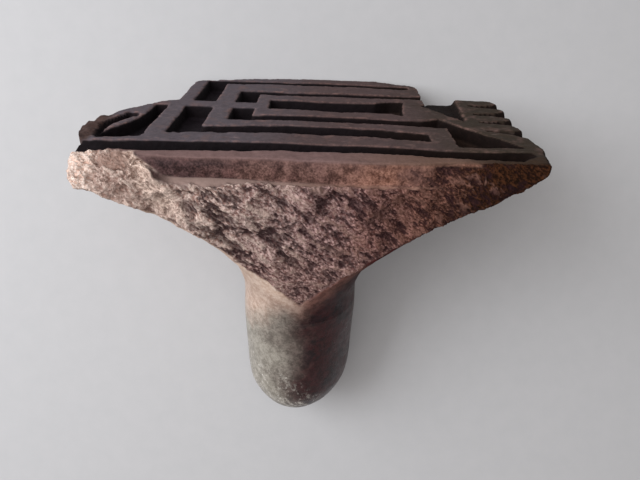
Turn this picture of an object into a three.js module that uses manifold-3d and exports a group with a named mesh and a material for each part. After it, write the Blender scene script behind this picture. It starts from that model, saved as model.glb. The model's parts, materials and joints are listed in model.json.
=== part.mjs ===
import * as THREE from "three";
import { ImprovedNoise } from "three/addons/math/ImprovedNoise.js";
import { mergeVertices } from "three/addons/utils/BufferGeometryUtils.js";
import Module from "manifold-3d";

const wasm = await Module();
wasm.setup();
const perlin = new ImprovedNoise();

// Lengths are in millimetres. The stamp's own axes meet where the axis of the stem passes through the printing face:
// X runs along the break, Y from the break to the far edge, and Z out of the printing face.

// Main sizes
const STAMP_HEIGHT = 59.5; // from the printing face to the end of the stem
const SLAB_THICKNESS = 3.4;
const GROOVE_DEPTH = 2.7;
const GROOVE_DRAFT = 0.35; // how much each wall of a carved groove leans in by the floor
const SEAM = 0.3; // clear line left between two pieces
const SLIP_THICKNESS = 0.5;
const EDGE_ROUND = 1.5; // how far the back edge of the slab is rounded in
const EDGE_RISE = 2.2; // how far up the edge of the slab that rounding reaches
const BACKING_FAR_INSET = 3.0; // from the far edge of the plate to the edge of the backing
const BACKING_SIDE_INSET = 1.4; // the same at the ends of the wings

// Stem and bell
const STEM_RADIUS = 10.8; // where the stem leaves the bell
const STEM_END_RADIUS = 10.2; // at the dome
const NECK_DROP = 32.0; // from the printing face to the foot of the bell
const COIL_DROP = 20.5; // from the printing face to the joint between the backing and the coil
const FLARE_RADIUS = 42.0; // where the curve of the bell ends, outside the plate
const FLARE_DROP = 2.2; // depth of the bell's curve out there
const FLARE_PULL_OUT = 1.4; // how far outside the neck the curve's corner lies
const FLARE_PULL_DROP = 12.5; // depth of that corner
const SHOULDER_SKEW = 1.0; // how much lower the shoulder of the bell hangs on the right, and higher on the left
const SHOULDER_RADIUS = 21.0;
const SHOULDER_WIDTH = 13.0; // how far in and out from there the skew fades
const TENON_RADIUS = 6.8;
const TENON_LENGTH = 17.5;

// Break along the near side. The slab ends there at the wall of one more groove, and the body breaks in front of it.
// Beyond the ends of that wall the slab is broken off on a slope.
const WALL_TO_AXIS = 12.6;
const WALL_LEFT = 20.6; // from the axis of the stem to the left end of the wall
const WALL_RIGHT = 28.0;
const WALL_TURN = 18.0; // from the axis to where the right part of the wall turns towards the slope
const SLOPE_TO_AXIS = 10.6; // to the upper edge of the slopes
const BREAK_TO_AXIS = 14.65; // at the level of the printing face
const BREAK_LEAN = 0.108; // how far the break draws back for each millimetre of depth
const BREAK_TURN = 0.055; // how far it draws back for each millimetre to the right
const LUMP_HEIGHT = 1.4; // of the largest lumps on the break
const LUMP_LENGTH = 10.0;
const LUMP_SIZES = 2; // each half as long as the one before
const LUMP_SHARE = 0.8; // height of each against the one before
const LUMP_FADE = 20.0; // the stretch above the neck in which the lumps fade

// Rows of the carved figure, as widths from the wall at the break to the far edge
const NEAR_RIDGE = 3.6;
const LONG_GROOVE = 3.2;
const LONG_RIDGE = 4.0;
const OUTER_NEAR_ARM = 3.8;
const OUTER_NEAR_RIDGE = 3.8;
const MIDDLE_NEAR_ARM = 2.9;
const INNER_NEAR_RIDGE = 3.9;
const SLOT = 6.0;
const INNER_FAR_RIDGE = 3.7;
const MIDDLE_FAR_ARM = 2.4;
const OUTER_FAR_RIDGE = 5.0;
const OUTER_FAR_ARM = 2.0;
const FAR_BORDER = 3.8;
const CROSS_BAR = 3.1;
const CROSS_BAR_SHIFT = -0.9; // from the middle of the slot
const STRAY = 0.5; // how far the carver's lines stray from true
const LONG_GROOVE_BOW = 1.2; // how far the middle of a row bends away from the break
const LONG_GROOVE_PEAK = 5.0; // from the axis to where the near side of the long groove turns back
const OUTER_ARM_BOW = 1.4;
const MIDDLE_ARM_BOW = 0.3;
const FAR_ARM_BOW = 0.6;

// Columns of the carved figure, as widths from the left side of the block
const BLOCK_LEFT = 24.4; // from the axis of the stem
const BLOCK_RIGHT = 23.2;
const LEFT_BORDER = 2.9;
const OUTER_COLUMN = 4.2;
const OUTER_BAND = 3.8;
const MIDDLE_COLUMN = 4.0;
const INNER_BAND = 2.5;
const SLOT_END_BORDER = 4.0;
const SLOT_MOUTH = 5.8; // length of the wider end of the slot
const SLOT_MOUTH_STEP = 1.9; // how far that end widens on each side
const SLOT_END_BEND = 1.0; // how far the end of the slot is hollowed
const ARM_END_BORDER = 1.9;
const OUTER_COLUMN_EXTRA = 0.9; // how much wider the outer column is near the break
const TURN_RIDGE = 3.9; // the end of the outer ridge, which turns towards the break

// Left wing
const WING_REACH_LEFT = 36.3;
const WING_SHOULDER = 3.0;
const WING_SHOULDER_DROP = 1.0;
const WING_BAND = 3.3; // between the pit of the wing and the outer column
const WING_PIT_WIDTH = 6.8;
const WING_PIT_TIP = 2.4; // width of the pit at its far end
const WING_PIT_WAIST = 3.4;
const WING_PIT_BULGE = 1.0; // how far the curved side of the pit swells
const WING_SLIT = 0.9;
const LEFT_CORNER = 34.4; // where the left edge meets the break
const LEFT_WAIST = 6.5; // from the wall at the break to the hollow in the left edge
const LEFT_WIDEST = 14.6; // from that wall to the widest point of the left wing
const LEFT_SWELL = 1.8; // how far the upper left edge is drawn in from a square corner
const WING_PIT_BEND = 4.9; // from the near end of the pit to its bend
const WING_SLIT_BORDER = 2.4; // from the left edge to the slit
const WING_HOOK = 3.0; // width of the ridge between the slit and the tip of the pit

// Right wing
const WING_REACH_RIGHT = 38.1;
const WING_TIP = 0.9; // how far the near tip stands out beyond the fingers
const WING_CHAMFER = 2.8; // at the corner between the right edge and the break
const WING_TIP_RISE = 8.2; // from the wall at the break to the tip
const WING_TIP_RUN = 5.6; // from the tip to the fingers
const WING_DEPTH = 23.2; // from the axis of the stem to the far side of the wing
const WING_RIDGE = 1.6; // between the long groove and the corner pit
const CORNER_PIT_RIGHT = 2.1; // from the corner pit to the right edge
const DIAGONAL_RIDGE = 3.1;
const DIAGONAL_START = 1.2; // from the block to the upper end of the diagonal's near side
const DIAGONAL_RISE = 1.4; // how far that end lies beyond the middle groove
const NOTCH_RIGHT = 28.7;
const NOTCH_DEPTH = 1.3;
const NOTCH_TIP = 1.0; // width of the notch at its two pointed ends
const FINGER_COUNT = 5;
const FINGER_PITCH = 5.1;
const FIRST_SLIT = 4.0; // from the far side of the wing
const FINGER_SLIT = 1.4; // width of a slit at the right edge
const FINGER_SLIT_TIP = 0.7;
const FINGER_LENGTH = 6.4;
const FINGER_SLANT = 1.5; // how far the slit nearest to the break slants towards it

// Outline
const FAR_STRAIGHT_LEFT = 6.5; // the straight run of the far edge, each way from the axis
const FAR_STRAIGHT_RIGHT = 14.3;
const FAR_DROP_LEFT = 3.4; // how far the far edge has dropped at the corners of the block
const FAR_DROP_RIGHT = 2.1;
const CORNER_RADIUS = 3.0;

// Finishes
const FINE_CLAY = { color: 0x66574f, roughness: 0.85 };
const SLIP = { color: 0xb59c88, roughness: 0.9 };
const COARSE_CLAY = { color: 0x8f7464, roughness: 0.95 };
const COIL_CLAY = { color: 0x97806f, roughness: 0.9 };
const BURNISHED_CLAY = { color: 0x6f6c63, roughness: 0.6 };

// Fineness of the facets
const CURVE_STEPS = 5;
const TURN_STEPS = 56;
const FLARE_STEPS = 20;
const DOME_STEPS = 12;
const EDGE_STEPS = 3;
const BREAK_CELL = 1.8;

// Help sizes
const CLEAR = 1.0; // how far a cutting shape reaches past what it cuts
const REACH = 120.0; // larger than the stamp
const BREAK_SPAN = 90.0; // larger than the break
const WELD = 1e-4;
const HALF = 0.5;
const QUARTER_TURN = Math.PI / 2;

// Rows, as distances from the axis of the stem
const wallY = -WALL_TO_AXIS;
const longGrooveNear = wallY + NEAR_RIDGE;
const longGrooveFar = longGrooveNear + LONG_GROOVE;
const outerNear = longGrooveFar + LONG_RIDGE;
const outerNearTop = outerNear + OUTER_NEAR_ARM;
const middleNear = outerNearTop + OUTER_NEAR_RIDGE;
const middleNearTop = middleNear + MIDDLE_NEAR_ARM;
const slotNear = middleNearTop + INNER_NEAR_RIDGE;
const slotFar = slotNear + SLOT;
const middleFar = slotFar + INNER_FAR_RIDGE;
const middleFarTop = middleFar + MIDDLE_FAR_ARM;
const outerFar = middleFarTop + OUTER_FAR_RIDGE;
const outerFarTop = outerFar + OUTER_FAR_ARM;
const farEdge = outerFarTop + FAR_BORDER;
const crossBarMiddle = (slotNear + slotFar) * HALF + CROSS_BAR_SHIFT;
const crossBarNear = crossBarMiddle - CROSS_BAR * HALF;
const crossBarFar = crossBarMiddle + CROSS_BAR * HALF;

// Columns, as distances from the axis of the stem
const blockLeft = -BLOCK_LEFT;
const blockRight = BLOCK_RIGHT;
const outerColumnLeft = blockLeft + LEFT_BORDER;
const outerColumnRight = outerColumnLeft + OUTER_COLUMN;
const middleColumnLeft = outerColumnRight + OUTER_BAND;
const middleColumnRight = middleColumnLeft + MIDDLE_COLUMN;
const slotLeft = middleColumnRight + INNER_BAND;
const slotRight = blockRight - SLOT_END_BORDER;
const armEnd = blockRight - ARM_END_BORDER;
const turnRight = armEnd + TURN_RIDGE;
const wingBandRight = outerColumnLeft - OUTER_COLUMN_EXTRA;
const wingBandLeft = wingBandRight - WING_BAND;

// Depths under the printing face
const slabBack = -SLAB_THICKNESS;
const slipTop = slabBack - SEAM;
const slipBottom = slipTop - SLIP_THICKNESS;
const backingTop = slipBottom - SEAM;
const coilTop = -COIL_DROP - SEAM;
const tenonTop = -NECK_DROP + TENON_LENGTH;
const slipCupRadius = TENON_RADIUS + SEAM + SLIP_THICKNESS;
const slipCupTop = tenonTop + SEAM + SLIP_THICKNESS;
const socketRadius = slipCupRadius + SEAM;
const socketTop = slipCupTop + SEAM;
const domeCentre = -STAMP_HEIGHT + STEM_END_RADIUS;

// Place of the break across the stamp, without its lumps
function breakAt(x, z) {
  return -BREAK_TO_AXIS - BREAK_LEAN * z + BREAK_TURN * x;
}

// A closed solid from a geometry, without the empty triangles that a turned profile has on its axis.
function solid(geometry) {
  const plain = geometry.clone();
  plain.deleteAttribute("normal");
  plain.deleteAttribute("uv");
  const welded = mergeVertices(plain, WELD);
  const index = welded.index.array;
  const triangles = [];
  for (let i = 0; i < index.length; i += 3) {
    const [a, b, c] = [index[i], index[i + 1], index[i + 2]];
    if (a !== b && b !== c && c !== a) {
      triangles.push(a, b, c);
    }
  }
  const mesh = new wasm.Mesh({
    numProp: 3,
    vertProperties: new Float32Array(welded.attributes.position.array),
    triVerts: new Uint32Array(triangles),
  });
  return new wasm.Manifold(mesh);
}

function geometryOf(body) {
  const mesh = body.getMesh();
  const geometry = new THREE.BufferGeometry();
  geometry.setAttribute("position", new THREE.BufferAttribute(mesh.vertProperties, 3));
  geometry.setIndex(new THREE.BufferAttribute(mesh.triVerts, 1));
  geometry.computeVertexNormals();
  return geometry;
}

// A solid turned about the axis of the stem from points given as (radius, height).
function turned(profile) {
  const geometry = new THREE.LatheGeometry(profile, TURN_STEPS);
  geometry.rotateX(QUARTER_TURN);
  return solid(geometry);
}

// A solid with this outline between two heights.
function prism(outline, bottom, top) {
  const geometry = new THREE.ExtrudeGeometry(outline, {
    depth: top - bottom,
    bevelEnabled: false,
    curveSegments: CURVE_STEPS,
  });
  geometry.translate(0, 0, bottom);
  return solid(geometry);
}

// The clay that a gouge takes out along this outline to this depth, with walls that lean in towards the floor.
function carved(outline, depth) {
  const geometry = new THREE.ExtrudeGeometry(outline, {
    depth: CLEAR,
    bevelEnabled: true,
    bevelThickness: depth,
    bevelSize: GROOVE_DRAFT,
    bevelOffset: -GROOVE_DRAFT,
    bevelSegments: 1,
    curveSegments: CURVE_STEPS,
  });
  return solid(geometry);
}

function polygon(points) {
  return new THREE.Shape(points.map(([x, y]) => new THREE.Vector2(x, y)));
}

// Carries an outline along a row from where it is to x, with the middle of the row bent by bow.
function alongRow(shape, x, y, bow) {
  const from = shape.currentPoint;
  shape.quadraticCurveTo((from.x + x) * HALF, (from.y + y) * HALF + 2 * bow, x, y);
}

// Outline of the plate at the printing face, set in from its ends and from its far sides
function plateOutline(sideInset, farInset) {
  const shape = new THREE.Shape();
  const front = breakAt(-WING_REACH_LEFT, 0) - 2 * CLEAR;
  const wingFar = WING_DEPTH - farInset;
  const wingRight = WING_REACH_RIGHT - sideInset;
  const wingLeft = -WING_REACH_LEFT + sideInset;
  const leftCorner = -LEFT_CORNER + sideInset;
  const right = blockRight - farInset;
  const left = blockLeft + farInset;
  const far = farEdge - farInset;
  const tipY = wallY + WING_TIP_RISE;
  const leftWide = wallY + LEFT_WIDEST;
  const leftWaist = wallY + LEFT_WAIST;
  const shoulderY = crossBarFar + STRAY - farInset;
  const blockShoulder = far - FAR_DROP_LEFT;
  const blockShoulderRight = far - FAR_DROP_RIGHT;
  shape.moveTo(leftCorner, front);
  shape.lineTo(wingRight - WING_CHAMFER, front);
  shape.lineTo(wingRight, -SLOPE_TO_AXIS);
  shape.lineTo(wingRight + WING_TIP, tipY);
  shape.lineTo(wingRight, tipY + WING_TIP_RUN);
  shape.lineTo(wingRight, wingFar - CORNER_RADIUS);
  shape.quadraticCurveTo(wingRight, wingFar, wingRight - CORNER_RADIUS, wingFar);
  shape.lineTo(right, wingFar);
  shape.lineTo(right, blockShoulderRight - CORNER_RADIUS);
  shape.quadraticCurveTo(right, blockShoulderRight, right - CORNER_RADIUS, blockShoulderRight + STRAY);
  shape.lineTo(FAR_STRAIGHT_RIGHT, far);
  shape.lineTo(-FAR_STRAIGHT_LEFT, far);
  shape.lineTo(left + CORNER_RADIUS, blockShoulder);
  shape.quadraticCurveTo(left, blockShoulder - STRAY, left, blockShoulder - CORNER_RADIUS);
  shape.lineTo(left, shoulderY);
  shape.lineTo(left - WING_SHOULDER, shoulderY - WING_SHOULDER_DROP);
  shape.quadraticCurveTo(wingLeft + LEFT_SWELL, middleNearTop, wingLeft, leftWide);
  shape.quadraticCurveTo(wingLeft, leftWaist + LEFT_SWELL, leftCorner, leftWaist);
  shape.closePath();
  return shape;
}

// An elbow of the figure: a column beside the cross bar that turns into an arm along a row.
function elbow(left, right, bar, outside, inside, end, bow) {
  const shape = new THREE.Shape();
  shape.moveTo(left, bar);
  shape.lineTo(left, outside);
  alongRow(shape, end, outside, bow);
  shape.lineTo(end, inside);
  alongRow(shape, right, inside, bow);
  shape.lineTo(right, bar);
  shape.closePath();
  return shape;
}

// The groove along the whole near side, open at its left end
function longGroove() {
  const shape = new THREE.Shape();
  const left = -LEFT_CORNER + WING_CHAMFER;
  const right = WING_REACH_RIGHT - WING_CHAMFER * HALF;
  const far = longGrooveFar - STRAY;
  const leftNear = longGrooveNear - LONG_GROOVE_BOW;
  shape.moveTo(-REACH * HALF, leftNear);
  shape.lineTo(left, leftNear);
  alongRow(shape, LONG_GROOVE_PEAK, longGrooveNear + LONG_GROOVE_BOW, -STRAY);
  shape.lineTo(right - WING_CHAMFER, longGrooveNear - STRAY);
  shape.lineTo(right, far - STRAY);
  shape.lineTo(right - STRAY, far);
  alongRow(shape, left, far, LONG_GROOVE_BOW);
  shape.lineTo(-REACH * HALF, far);
  shape.closePath();
  return shape;
}

// The slot in the heart of the figure, with its wider right end
function slotOutline() {
  const shape = new THREE.Shape();
  const mouth = slotRight - SLOT_MOUTH;
  const bend = slotRight - SLOT_END_BEND;
  shape.moveTo(slotLeft, slotNear);
  shape.lineTo(mouth, slotNear);
  shape.quadraticCurveTo(mouth + SLOT_MOUTH * HALF, slotNear, bend, slotNear - SLOT_MOUTH_STEP);
  shape.quadraticCurveTo(bend, (slotNear + slotFar) * HALF, slotRight, slotFar + SLOT_MOUTH_STEP);
  shape.lineTo(slotRight - SLOT_MOUTH * HALF, slotFar + SLOT_MOUTH_STEP);
  shape.lineTo(mouth, slotFar);
  shape.lineTo(slotLeft, slotFar);
  shape.closePath();
  return shape;
}

// The pit of the left wing, which narrows towards the cross bar
function wingPit() {
  const shape = new THREE.Shape();
  const near = longGrooveFar + WING_RIDGE;
  const far = crossBarNear + STRAY;
  const waistY = near + WING_PIT_BEND;
  shape.moveTo(wingBandLeft, far);
  shape.lineTo(wingBandLeft, near);
  shape.lineTo(wingBandLeft - WING_PIT_WIDTH, near - WING_PIT_BULGE);
  shape.quadraticCurveTo(
    wingBandLeft - WING_PIT_WIDTH - WING_PIT_BULGE, near + WING_PIT_BULGE,
    wingBandLeft - (WING_PIT_WIDTH + WING_PIT_WAIST) * HALF, waistY,
  );
  shape.quadraticCurveTo(
    wingBandLeft - WING_PIT_WAIST + WING_PIT_BULGE, waistY + WING_PIT_WAIST,
    wingBandLeft - WING_PIT_TIP, far,
  );
  shape.closePath();
  return shape;
}

// The slit along the outside of the left wing
function wingSlit() {
  const shape = new THREE.Shape();
  const near = longGrooveFar + LONG_RIDGE;
  const far = middleNearTop - STRAY;
  const middle = (near + far) * HALF;
  const nearX = -WING_REACH_LEFT + WING_SLIT_BORDER;
  const farX = wingBandLeft - WING_PIT_TIP - WING_HOOK;
  shape.moveTo(nearX, near);
  shape.quadraticCurveTo(nearX + WING_SLIT, middle, farX, far);
  shape.lineTo(farX - WING_SLIT, far);
  shape.quadraticCurveTo(nearX - HALF * WING_SLIT, middle, nearX - WING_SLIT, near);
  shape.closePath();
  return shape;
}

// The corner pit of the right wing, which opens into the middle groove round the end of the outer ridge
const pitNear = longGrooveFar + WING_RIDGE;
const pitRight = WING_REACH_RIGHT - CORNER_PIT_RIGHT;
const mouthTop = middleNearTop + DIAGONAL_RISE;
const mouthX = blockRight + DIAGONAL_START;
const diagonalSlope = (mouthTop - pitNear) / (pitRight - mouthX);

function cornerPit() {
  return polygon([
    [armEnd, middleNear],
    [turnRight, middleNear - STRAY],
    [turnRight, pitNear],
    [pitRight, pitNear],
    [mouthX, mouthTop],
    [armEnd, middleNearTop],
  ]);
}

// The notch beside the block, open at the far side; the diagonal ridge lies between it and the corner pit.
function notch() {
  const rise = DIAGONAL_RIDGE * Math.hypot(1, diagonalSlope);
  const ridgeTop = (x) => mouthTop + rise - (x - mouthX) * diagonalSlope;
  const left = blockRight - NOTCH_TIP;
  const foot = NOTCH_RIGHT - NOTCH_TIP;
  return polygon([
    [left, ridgeTop(left)],
    [foot, ridgeTop(foot)],
    [NOTCH_RIGHT, ridgeTop(foot)],
    [NOTCH_RIGHT, WING_DEPTH + CLEAR],
    [blockRight, WING_DEPTH + CLEAR],
    [blockRight, ridgeTop(left) + NOTCH_TIP],
  ]);
}

// One of the slits that part the fingers of the right wing, counted from the far side
function fingerSlit(number) {
  const y = WING_DEPTH - FIRST_SLIT - FINGER_PITCH * number;
  const last = number === FINGER_COUNT - 2;
  const drop = last ? FINGER_SLANT : 0;
  const tip = WING_REACH_RIGHT - FINGER_LENGTH;
  const open = WING_REACH_RIGHT + 2 * CLEAR;
  return polygon([
    [tip, y - FINGER_SLIT_TIP * HALF],
    [open, y - FINGER_SLIT * HALF - drop],
    [open, y + FINGER_SLIT * HALF - drop],
    [tip, y + FINGER_SLIT_TIP * HALF],
  ]);
}

// The groove along which the near side broke, and all that was in front of its wall
function brokenGroove() {
  const left = -WALL_LEFT - GROOVE_DRAFT;
  const right = WALL_RIGHT + GROOVE_DRAFT;
  const wall = wallY + STRAY;
  return polygon([[left, wall], [left, -REACH], [right, -REACH], [right, -SLOPE_TO_AXIS], [WALL_TURN, wall]]);
}

// What is broken away of the slab at one end, on a slope that meets the break under the slab
function brokenSlope(left, right) {
  const middle = (left + right) * HALF;
  const tilt = Math.atan2(-SLOPE_TO_AXIS - breakAt(middle, slipTop), -slipTop);
  const geometry = new THREE.BoxGeometry(right - left, REACH, REACH * 2);
  geometry.translate(middle, -REACH * HALF, 0);
  geometry.rotateX(-tilt);
  geometry.translate(0, -SLOPE_TO_AXIS, 0);
  return solid(geometry);
}

// How far the break bulges, with lumps of several sizes that fade towards the stem
function bulge(x, z) {
  let sum = 0;
  for (let size = 0; size < LUMP_SIZES; size += 1) {
    const length = LUMP_LENGTH * HALF ** size;
    sum += perlin.noise(x / length, size + HALF, z / length) * LUMP_SHARE ** size;
  }
  return LUMP_HEIGHT * sum * THREE.MathUtils.clamp((z + NECK_DROP) / LUMP_FADE, 0, 1);
}

// What is broken away of the body in front of the stamp. Its face is uneven, as clay breaks.
function brokenAway() {
  const cells = Math.round(BREAK_SPAN / BREAK_CELL);
  const geometry = new THREE.BoxGeometry(BREAK_SPAN, REACH, BREAK_SPAN, cells, 1, cells);
  const place = geometry.attributes.position;
  for (let i = 0; i < place.count; i += 1) {
    if (place.getY(i) > 0) {
      const x = place.getX(i);
      const z = place.getZ(i);
      place.setY(i, breakAt(x, z) - bulge(x, z));
    } else {
      place.setY(i, -REACH);
    }
  }
  return solid(geometry);
}

function boxBetween(bottom, top) {
  const geometry = new THREE.BoxGeometry(REACH * 2, REACH * 2, top - bottom);
  geometry.translate(0, 0, (bottom + top) * HALF);
  return solid(geometry);
}

function point(radius, height) {
  return new THREE.Vector2(radius, height);
}

const bodyBreak = brokenAway();

// Face slab: a plate with a rounded back edge, carved from the front and parted along the near side
function faceSlab() {
  const blank = new THREE.ExtrudeGeometry(plateOutline(0, 0), {
    depth: SLAB_THICKNESS,
    bevelEnabled: true,
    bevelThickness: EDGE_RISE,
    bevelSize: EDGE_ROUND,
    bevelOffset: -EDGE_ROUND,
    bevelSegments: EDGE_STEPS,
    curveSegments: CURVE_STEPS,
  });
  blank.translate(0, 0, slabBack + EDGE_RISE);
  let slab = solid(blank).subtract(boxBetween(0, REACH)).subtract(bodyBreak);
  slab = slab.subtract(carved(brokenGroove(), SLAB_THICKNESS + CLEAR));
  slab = slab.subtract(brokenSlope(-WING_REACH_LEFT - CLEAR, -WALL_LEFT));
  slab = slab.subtract(brokenSlope(WALL_RIGHT, WING_REACH_RIGHT + WING_TIP + CLEAR));
  const grooves = [
    longGroove(),
    elbow(wingBandRight, outerColumnRight, crossBarNear, outerNear, outerNearTop, armEnd, OUTER_ARM_BOW),
    elbow(middleColumnLeft, middleColumnRight, crossBarNear, middleNear, middleNearTop, armEnd + STRAY, MIDDLE_ARM_BOW),
    elbow(outerColumnLeft, outerColumnRight, crossBarFar, outerFarTop, outerFar, armEnd, FAR_ARM_BOW),
    elbow(middleColumnLeft, middleColumnRight, crossBarFar, middleFarTop, middleFar, blockRight + CLEAR, 0),
    slotOutline(),
    wingPit(),
    cornerPit(),
  ];
  for (const groove of grooves) {
    slab = slab.subtract(carved(groove, GROOVE_DEPTH));
  }
  slab = slab.subtract(prism(wingSlit(), -GROOVE_DEPTH * HALF, CLEAR));
  slab = slab.subtract(prism(notch(), -NOTCH_DEPTH, CLEAR));
  for (let number = 0; number < FINGER_COUNT - 1; number += 1) {
    slab = slab.subtract(prism(fingerSlit(number), -GROOVE_DEPTH * HALF, CLEAR));
  }
  return slab;
}

// The coat of slip between the slab and the backing
function slabSlip() {
  return prism(plateOutline(BACKING_SIDE_INSET, BACKING_FAR_INSET), slipBottom, slipTop).subtract(bodyBreak);
}

// Lowers the shoulder of the bell on the right and raises it on the left.
function skewed(body) {
  return body.warp((place) => {
    const radius = Math.max(Math.hypot(place[0], place[1]), WELD);
    const fade = Math.min(Math.abs(radius - SHOULDER_RADIUS) / SHOULDER_WIDTH, 1);
    place[2] -= SHOULDER_SKEW * (place[0] / radius) * Math.cos(fade * QUARTER_TURN) ** 2;
  });
}

// The bell of coarse clay from the back of the slab down to the stem, before it is parted into backing and coil
function bell() {
  const curve = new THREE.QuadraticBezierCurve(
    point(STEM_RADIUS, -NECK_DROP),
    point(STEM_RADIUS + FLARE_PULL_OUT, -FLARE_PULL_DROP),
    point(FLARE_RADIUS, -FLARE_DROP),
  );
  const profile = [point(0, -NECK_DROP), ...curve.getPoints(FLARE_STEPS), point(0, -FLARE_DROP)];
  return skewed(turned(profile)).subtract(boxBetween(backingTop, REACH)).subtract(bodyBreak);
}

function backing() {
  const socket = turned([
    point(0, -REACH),
    point(socketRadius, -REACH),
    point(socketRadius, socketTop),
    point(0, socketTop),
  ]);
  return bell()
    .intersect(prism(plateOutline(BACKING_SIDE_INSET, BACKING_FAR_INSET), -REACH, REACH))
    .subtract(boxBetween(-REACH, -COIL_DROP))
    .subtract(socket);
}

function neckCoil() {
  const foot = -NECK_DROP + SEAM;
  const bore = turned([point(0, -REACH), point(socketRadius, -REACH), point(socketRadius, REACH), point(0, REACH)]);
  return bell().subtract(boxBetween(coilTop, REACH)).subtract(boxBetween(-REACH, foot)).subtract(bore);
}

// The slip round the tenon, as a cup that is open at its foot
function stemSlip() {
  const foot = -NECK_DROP + SEAM;
  const inside = TENON_RADIUS + SEAM;
  return turned([
    point(inside, foot),
    point(slipCupRadius, foot),
    point(slipCupRadius, slipCupTop),
    point(0, slipCupTop),
    point(0, slipCupTop - SLIP_THICKNESS),
    point(inside, slipCupTop - SLIP_THICKNESS),
    point(inside, foot),
  ]);
}

// The stem, from its domed end up to the tenon
function stem() {
  const profile = [];
  for (let step = 0; step <= DOME_STEPS; step += 1) {
    const angle = (QUARTER_TURN * step) / DOME_STEPS;
    profile.push(point(STEM_END_RADIUS * Math.sin(angle), domeCentre - STEM_END_RADIUS * Math.cos(angle)));
  }
  profile.push(point(STEM_RADIUS, -NECK_DROP), point(TENON_RADIUS, -NECK_DROP));
  profile.push(point(TENON_RADIUS, tenonTop), point(0, tenonTop));
  return turned(profile);
}

// Angle between the printing face and the upright when this point of the far edge and the dome both touch the table
function restAngle(y, z) {
  const height = z - domeCentre;
  return Math.acos(STEM_END_RADIUS / Math.hypot(y, height)) - Math.atan2(height, y);
}

function piece(name, body, finish) {
  const mesh = new THREE.Mesh(geometryOf(body), new THREE.MeshStandardMaterial({ ...finish, metalness: 0 }));
  mesh.name = name;
  return mesh;
}

const stamp = new THREE.Group();
stamp.name = "clay_stamp";
stamp.add(
  piece("face_slab", faceSlab(), FINE_CLAY),
  piece("slab_slip", slabSlip(), SLIP),
  piece("backing", backing(), COARSE_CLAY),
  piece("neck_coil", neckCoil(), COIL_CLAY),
  piece("stem_slip", stemSlip(), SLIP),
  piece("stem", stem(), BURNISHED_CLAY),
);

// The stamp lies on its side, on the rounded far edge of the slab and on the dome of the stem.
let restTilt = 0;
for (let step = 0; step <= EDGE_STEPS; step += 1) {
  const angle = (QUARTER_TURN * step) / EDGE_STEPS;
  const y = farEdge - EDGE_ROUND * (1 - Math.sin(angle));
  const z = slabBack + EDGE_RISE * (1 - Math.cos(angle));
  restTilt = Math.max(restTilt, restAngle(y, z));
}
stamp.rotation.x = restTilt - QUARTER_TURN;
stamp.updateMatrixWorld(true);
const box = new THREE.Box3().setFromObject(stamp, true);
const middle = box.getCenter(new THREE.Vector3());
stamp.position.set(-middle.x, -middle.y, -box.min.z);
stamp.updateMatrixWorld(true);

export default stamp;
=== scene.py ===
import json
import math

import bmesh
import bpy
import numpy as np
from mathutils import Matrix, Vector, noise


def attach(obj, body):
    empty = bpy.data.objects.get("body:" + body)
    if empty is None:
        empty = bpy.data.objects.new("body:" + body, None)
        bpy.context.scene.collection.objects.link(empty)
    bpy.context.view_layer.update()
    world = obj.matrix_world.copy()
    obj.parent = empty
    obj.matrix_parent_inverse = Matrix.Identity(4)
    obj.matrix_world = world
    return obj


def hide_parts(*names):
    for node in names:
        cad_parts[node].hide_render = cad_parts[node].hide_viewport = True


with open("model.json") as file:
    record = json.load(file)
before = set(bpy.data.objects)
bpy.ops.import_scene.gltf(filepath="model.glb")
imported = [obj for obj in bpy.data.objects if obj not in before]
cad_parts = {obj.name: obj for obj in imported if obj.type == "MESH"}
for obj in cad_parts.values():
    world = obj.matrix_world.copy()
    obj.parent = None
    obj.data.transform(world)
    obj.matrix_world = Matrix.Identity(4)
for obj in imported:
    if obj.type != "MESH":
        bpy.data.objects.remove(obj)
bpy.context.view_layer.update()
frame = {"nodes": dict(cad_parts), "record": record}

# Units and axes
# The stamp's own axes are in millimetres: X along the break, Y from the break to the far edge, Z out of the printing
# face. They meet where the axis of the stem passes through the printing face. The mount of the printing face is known
# in those axes, and places them in the frame.
MM = 0.001
MOUNT_X = 2.0
MOUNT_Y = -2.75
mount = next(entry for entry in frame["record"]["mounts"] if entry["name"] == "printing_face")
ALONG = Vector((1.0, 0.0, 0.0))
FACE_OUT = Vector(mount["axis"]).normalized()
ACROSS = FACE_OUT.cross(ALONG)
ORIGIN = Vector(mount["pos_m"]) - (ALONG * MOUNT_X + ACROSS * MOUNT_Y) * MM
AXES = np.array([ALONG, ACROSS, FACE_OUT])

# Sizes of the solids, in millimetres in the stamp's axes
GROOVE_FLOOR = -2.7
SLAB_BACK = -3.4
SLIP_TOP = -3.7
SLIP_BOTTOM = -4.2
BACKING_TOP = -4.5
COIL_TOP = -20.5
NECK = -32.0
STAMP_END = -59.5
WALL_Y = -12.6
WALL_LEFT = -20.6
WALL_TURN = 18.0
WALL_RIGHT = 28.0
SLOPE_Y = -10.6
SLOPE_MIDDLE_LEFT = -28.95
SLOPE_MIDDLE_RIGHT = 34.0
BREAK_Y = -14.65
BREAK_LEAN = 0.108
BREAK_TURN = 0.055
STEM_RADIUS = 10.8
FLARE_RADIUS = 42.0
FLARE_LEVEL = -2.2
FLARE_CORNER_RADIUS = 12.2
FLARE_CORNER_LEVEL = -12.5
SHOULDER_SKEW = 1.0
SHOULDER_RADIUS = 21.0
SHOULDER_WIDTH = 13.0

# The broken front runs out into a wedge on the neck
TIP_X = 0.5
TIP_Z = -27.0
TIP_RISE_LEFT = 0.877
TIP_RISE_RIGHT = 0.851


def to_frame(points):
    """Points in the stamp's axes, in millimetres, as points of the frame, in metres."""
    return np.array(ORIGIN) + np.asarray(points) @ AXES * MM


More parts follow.
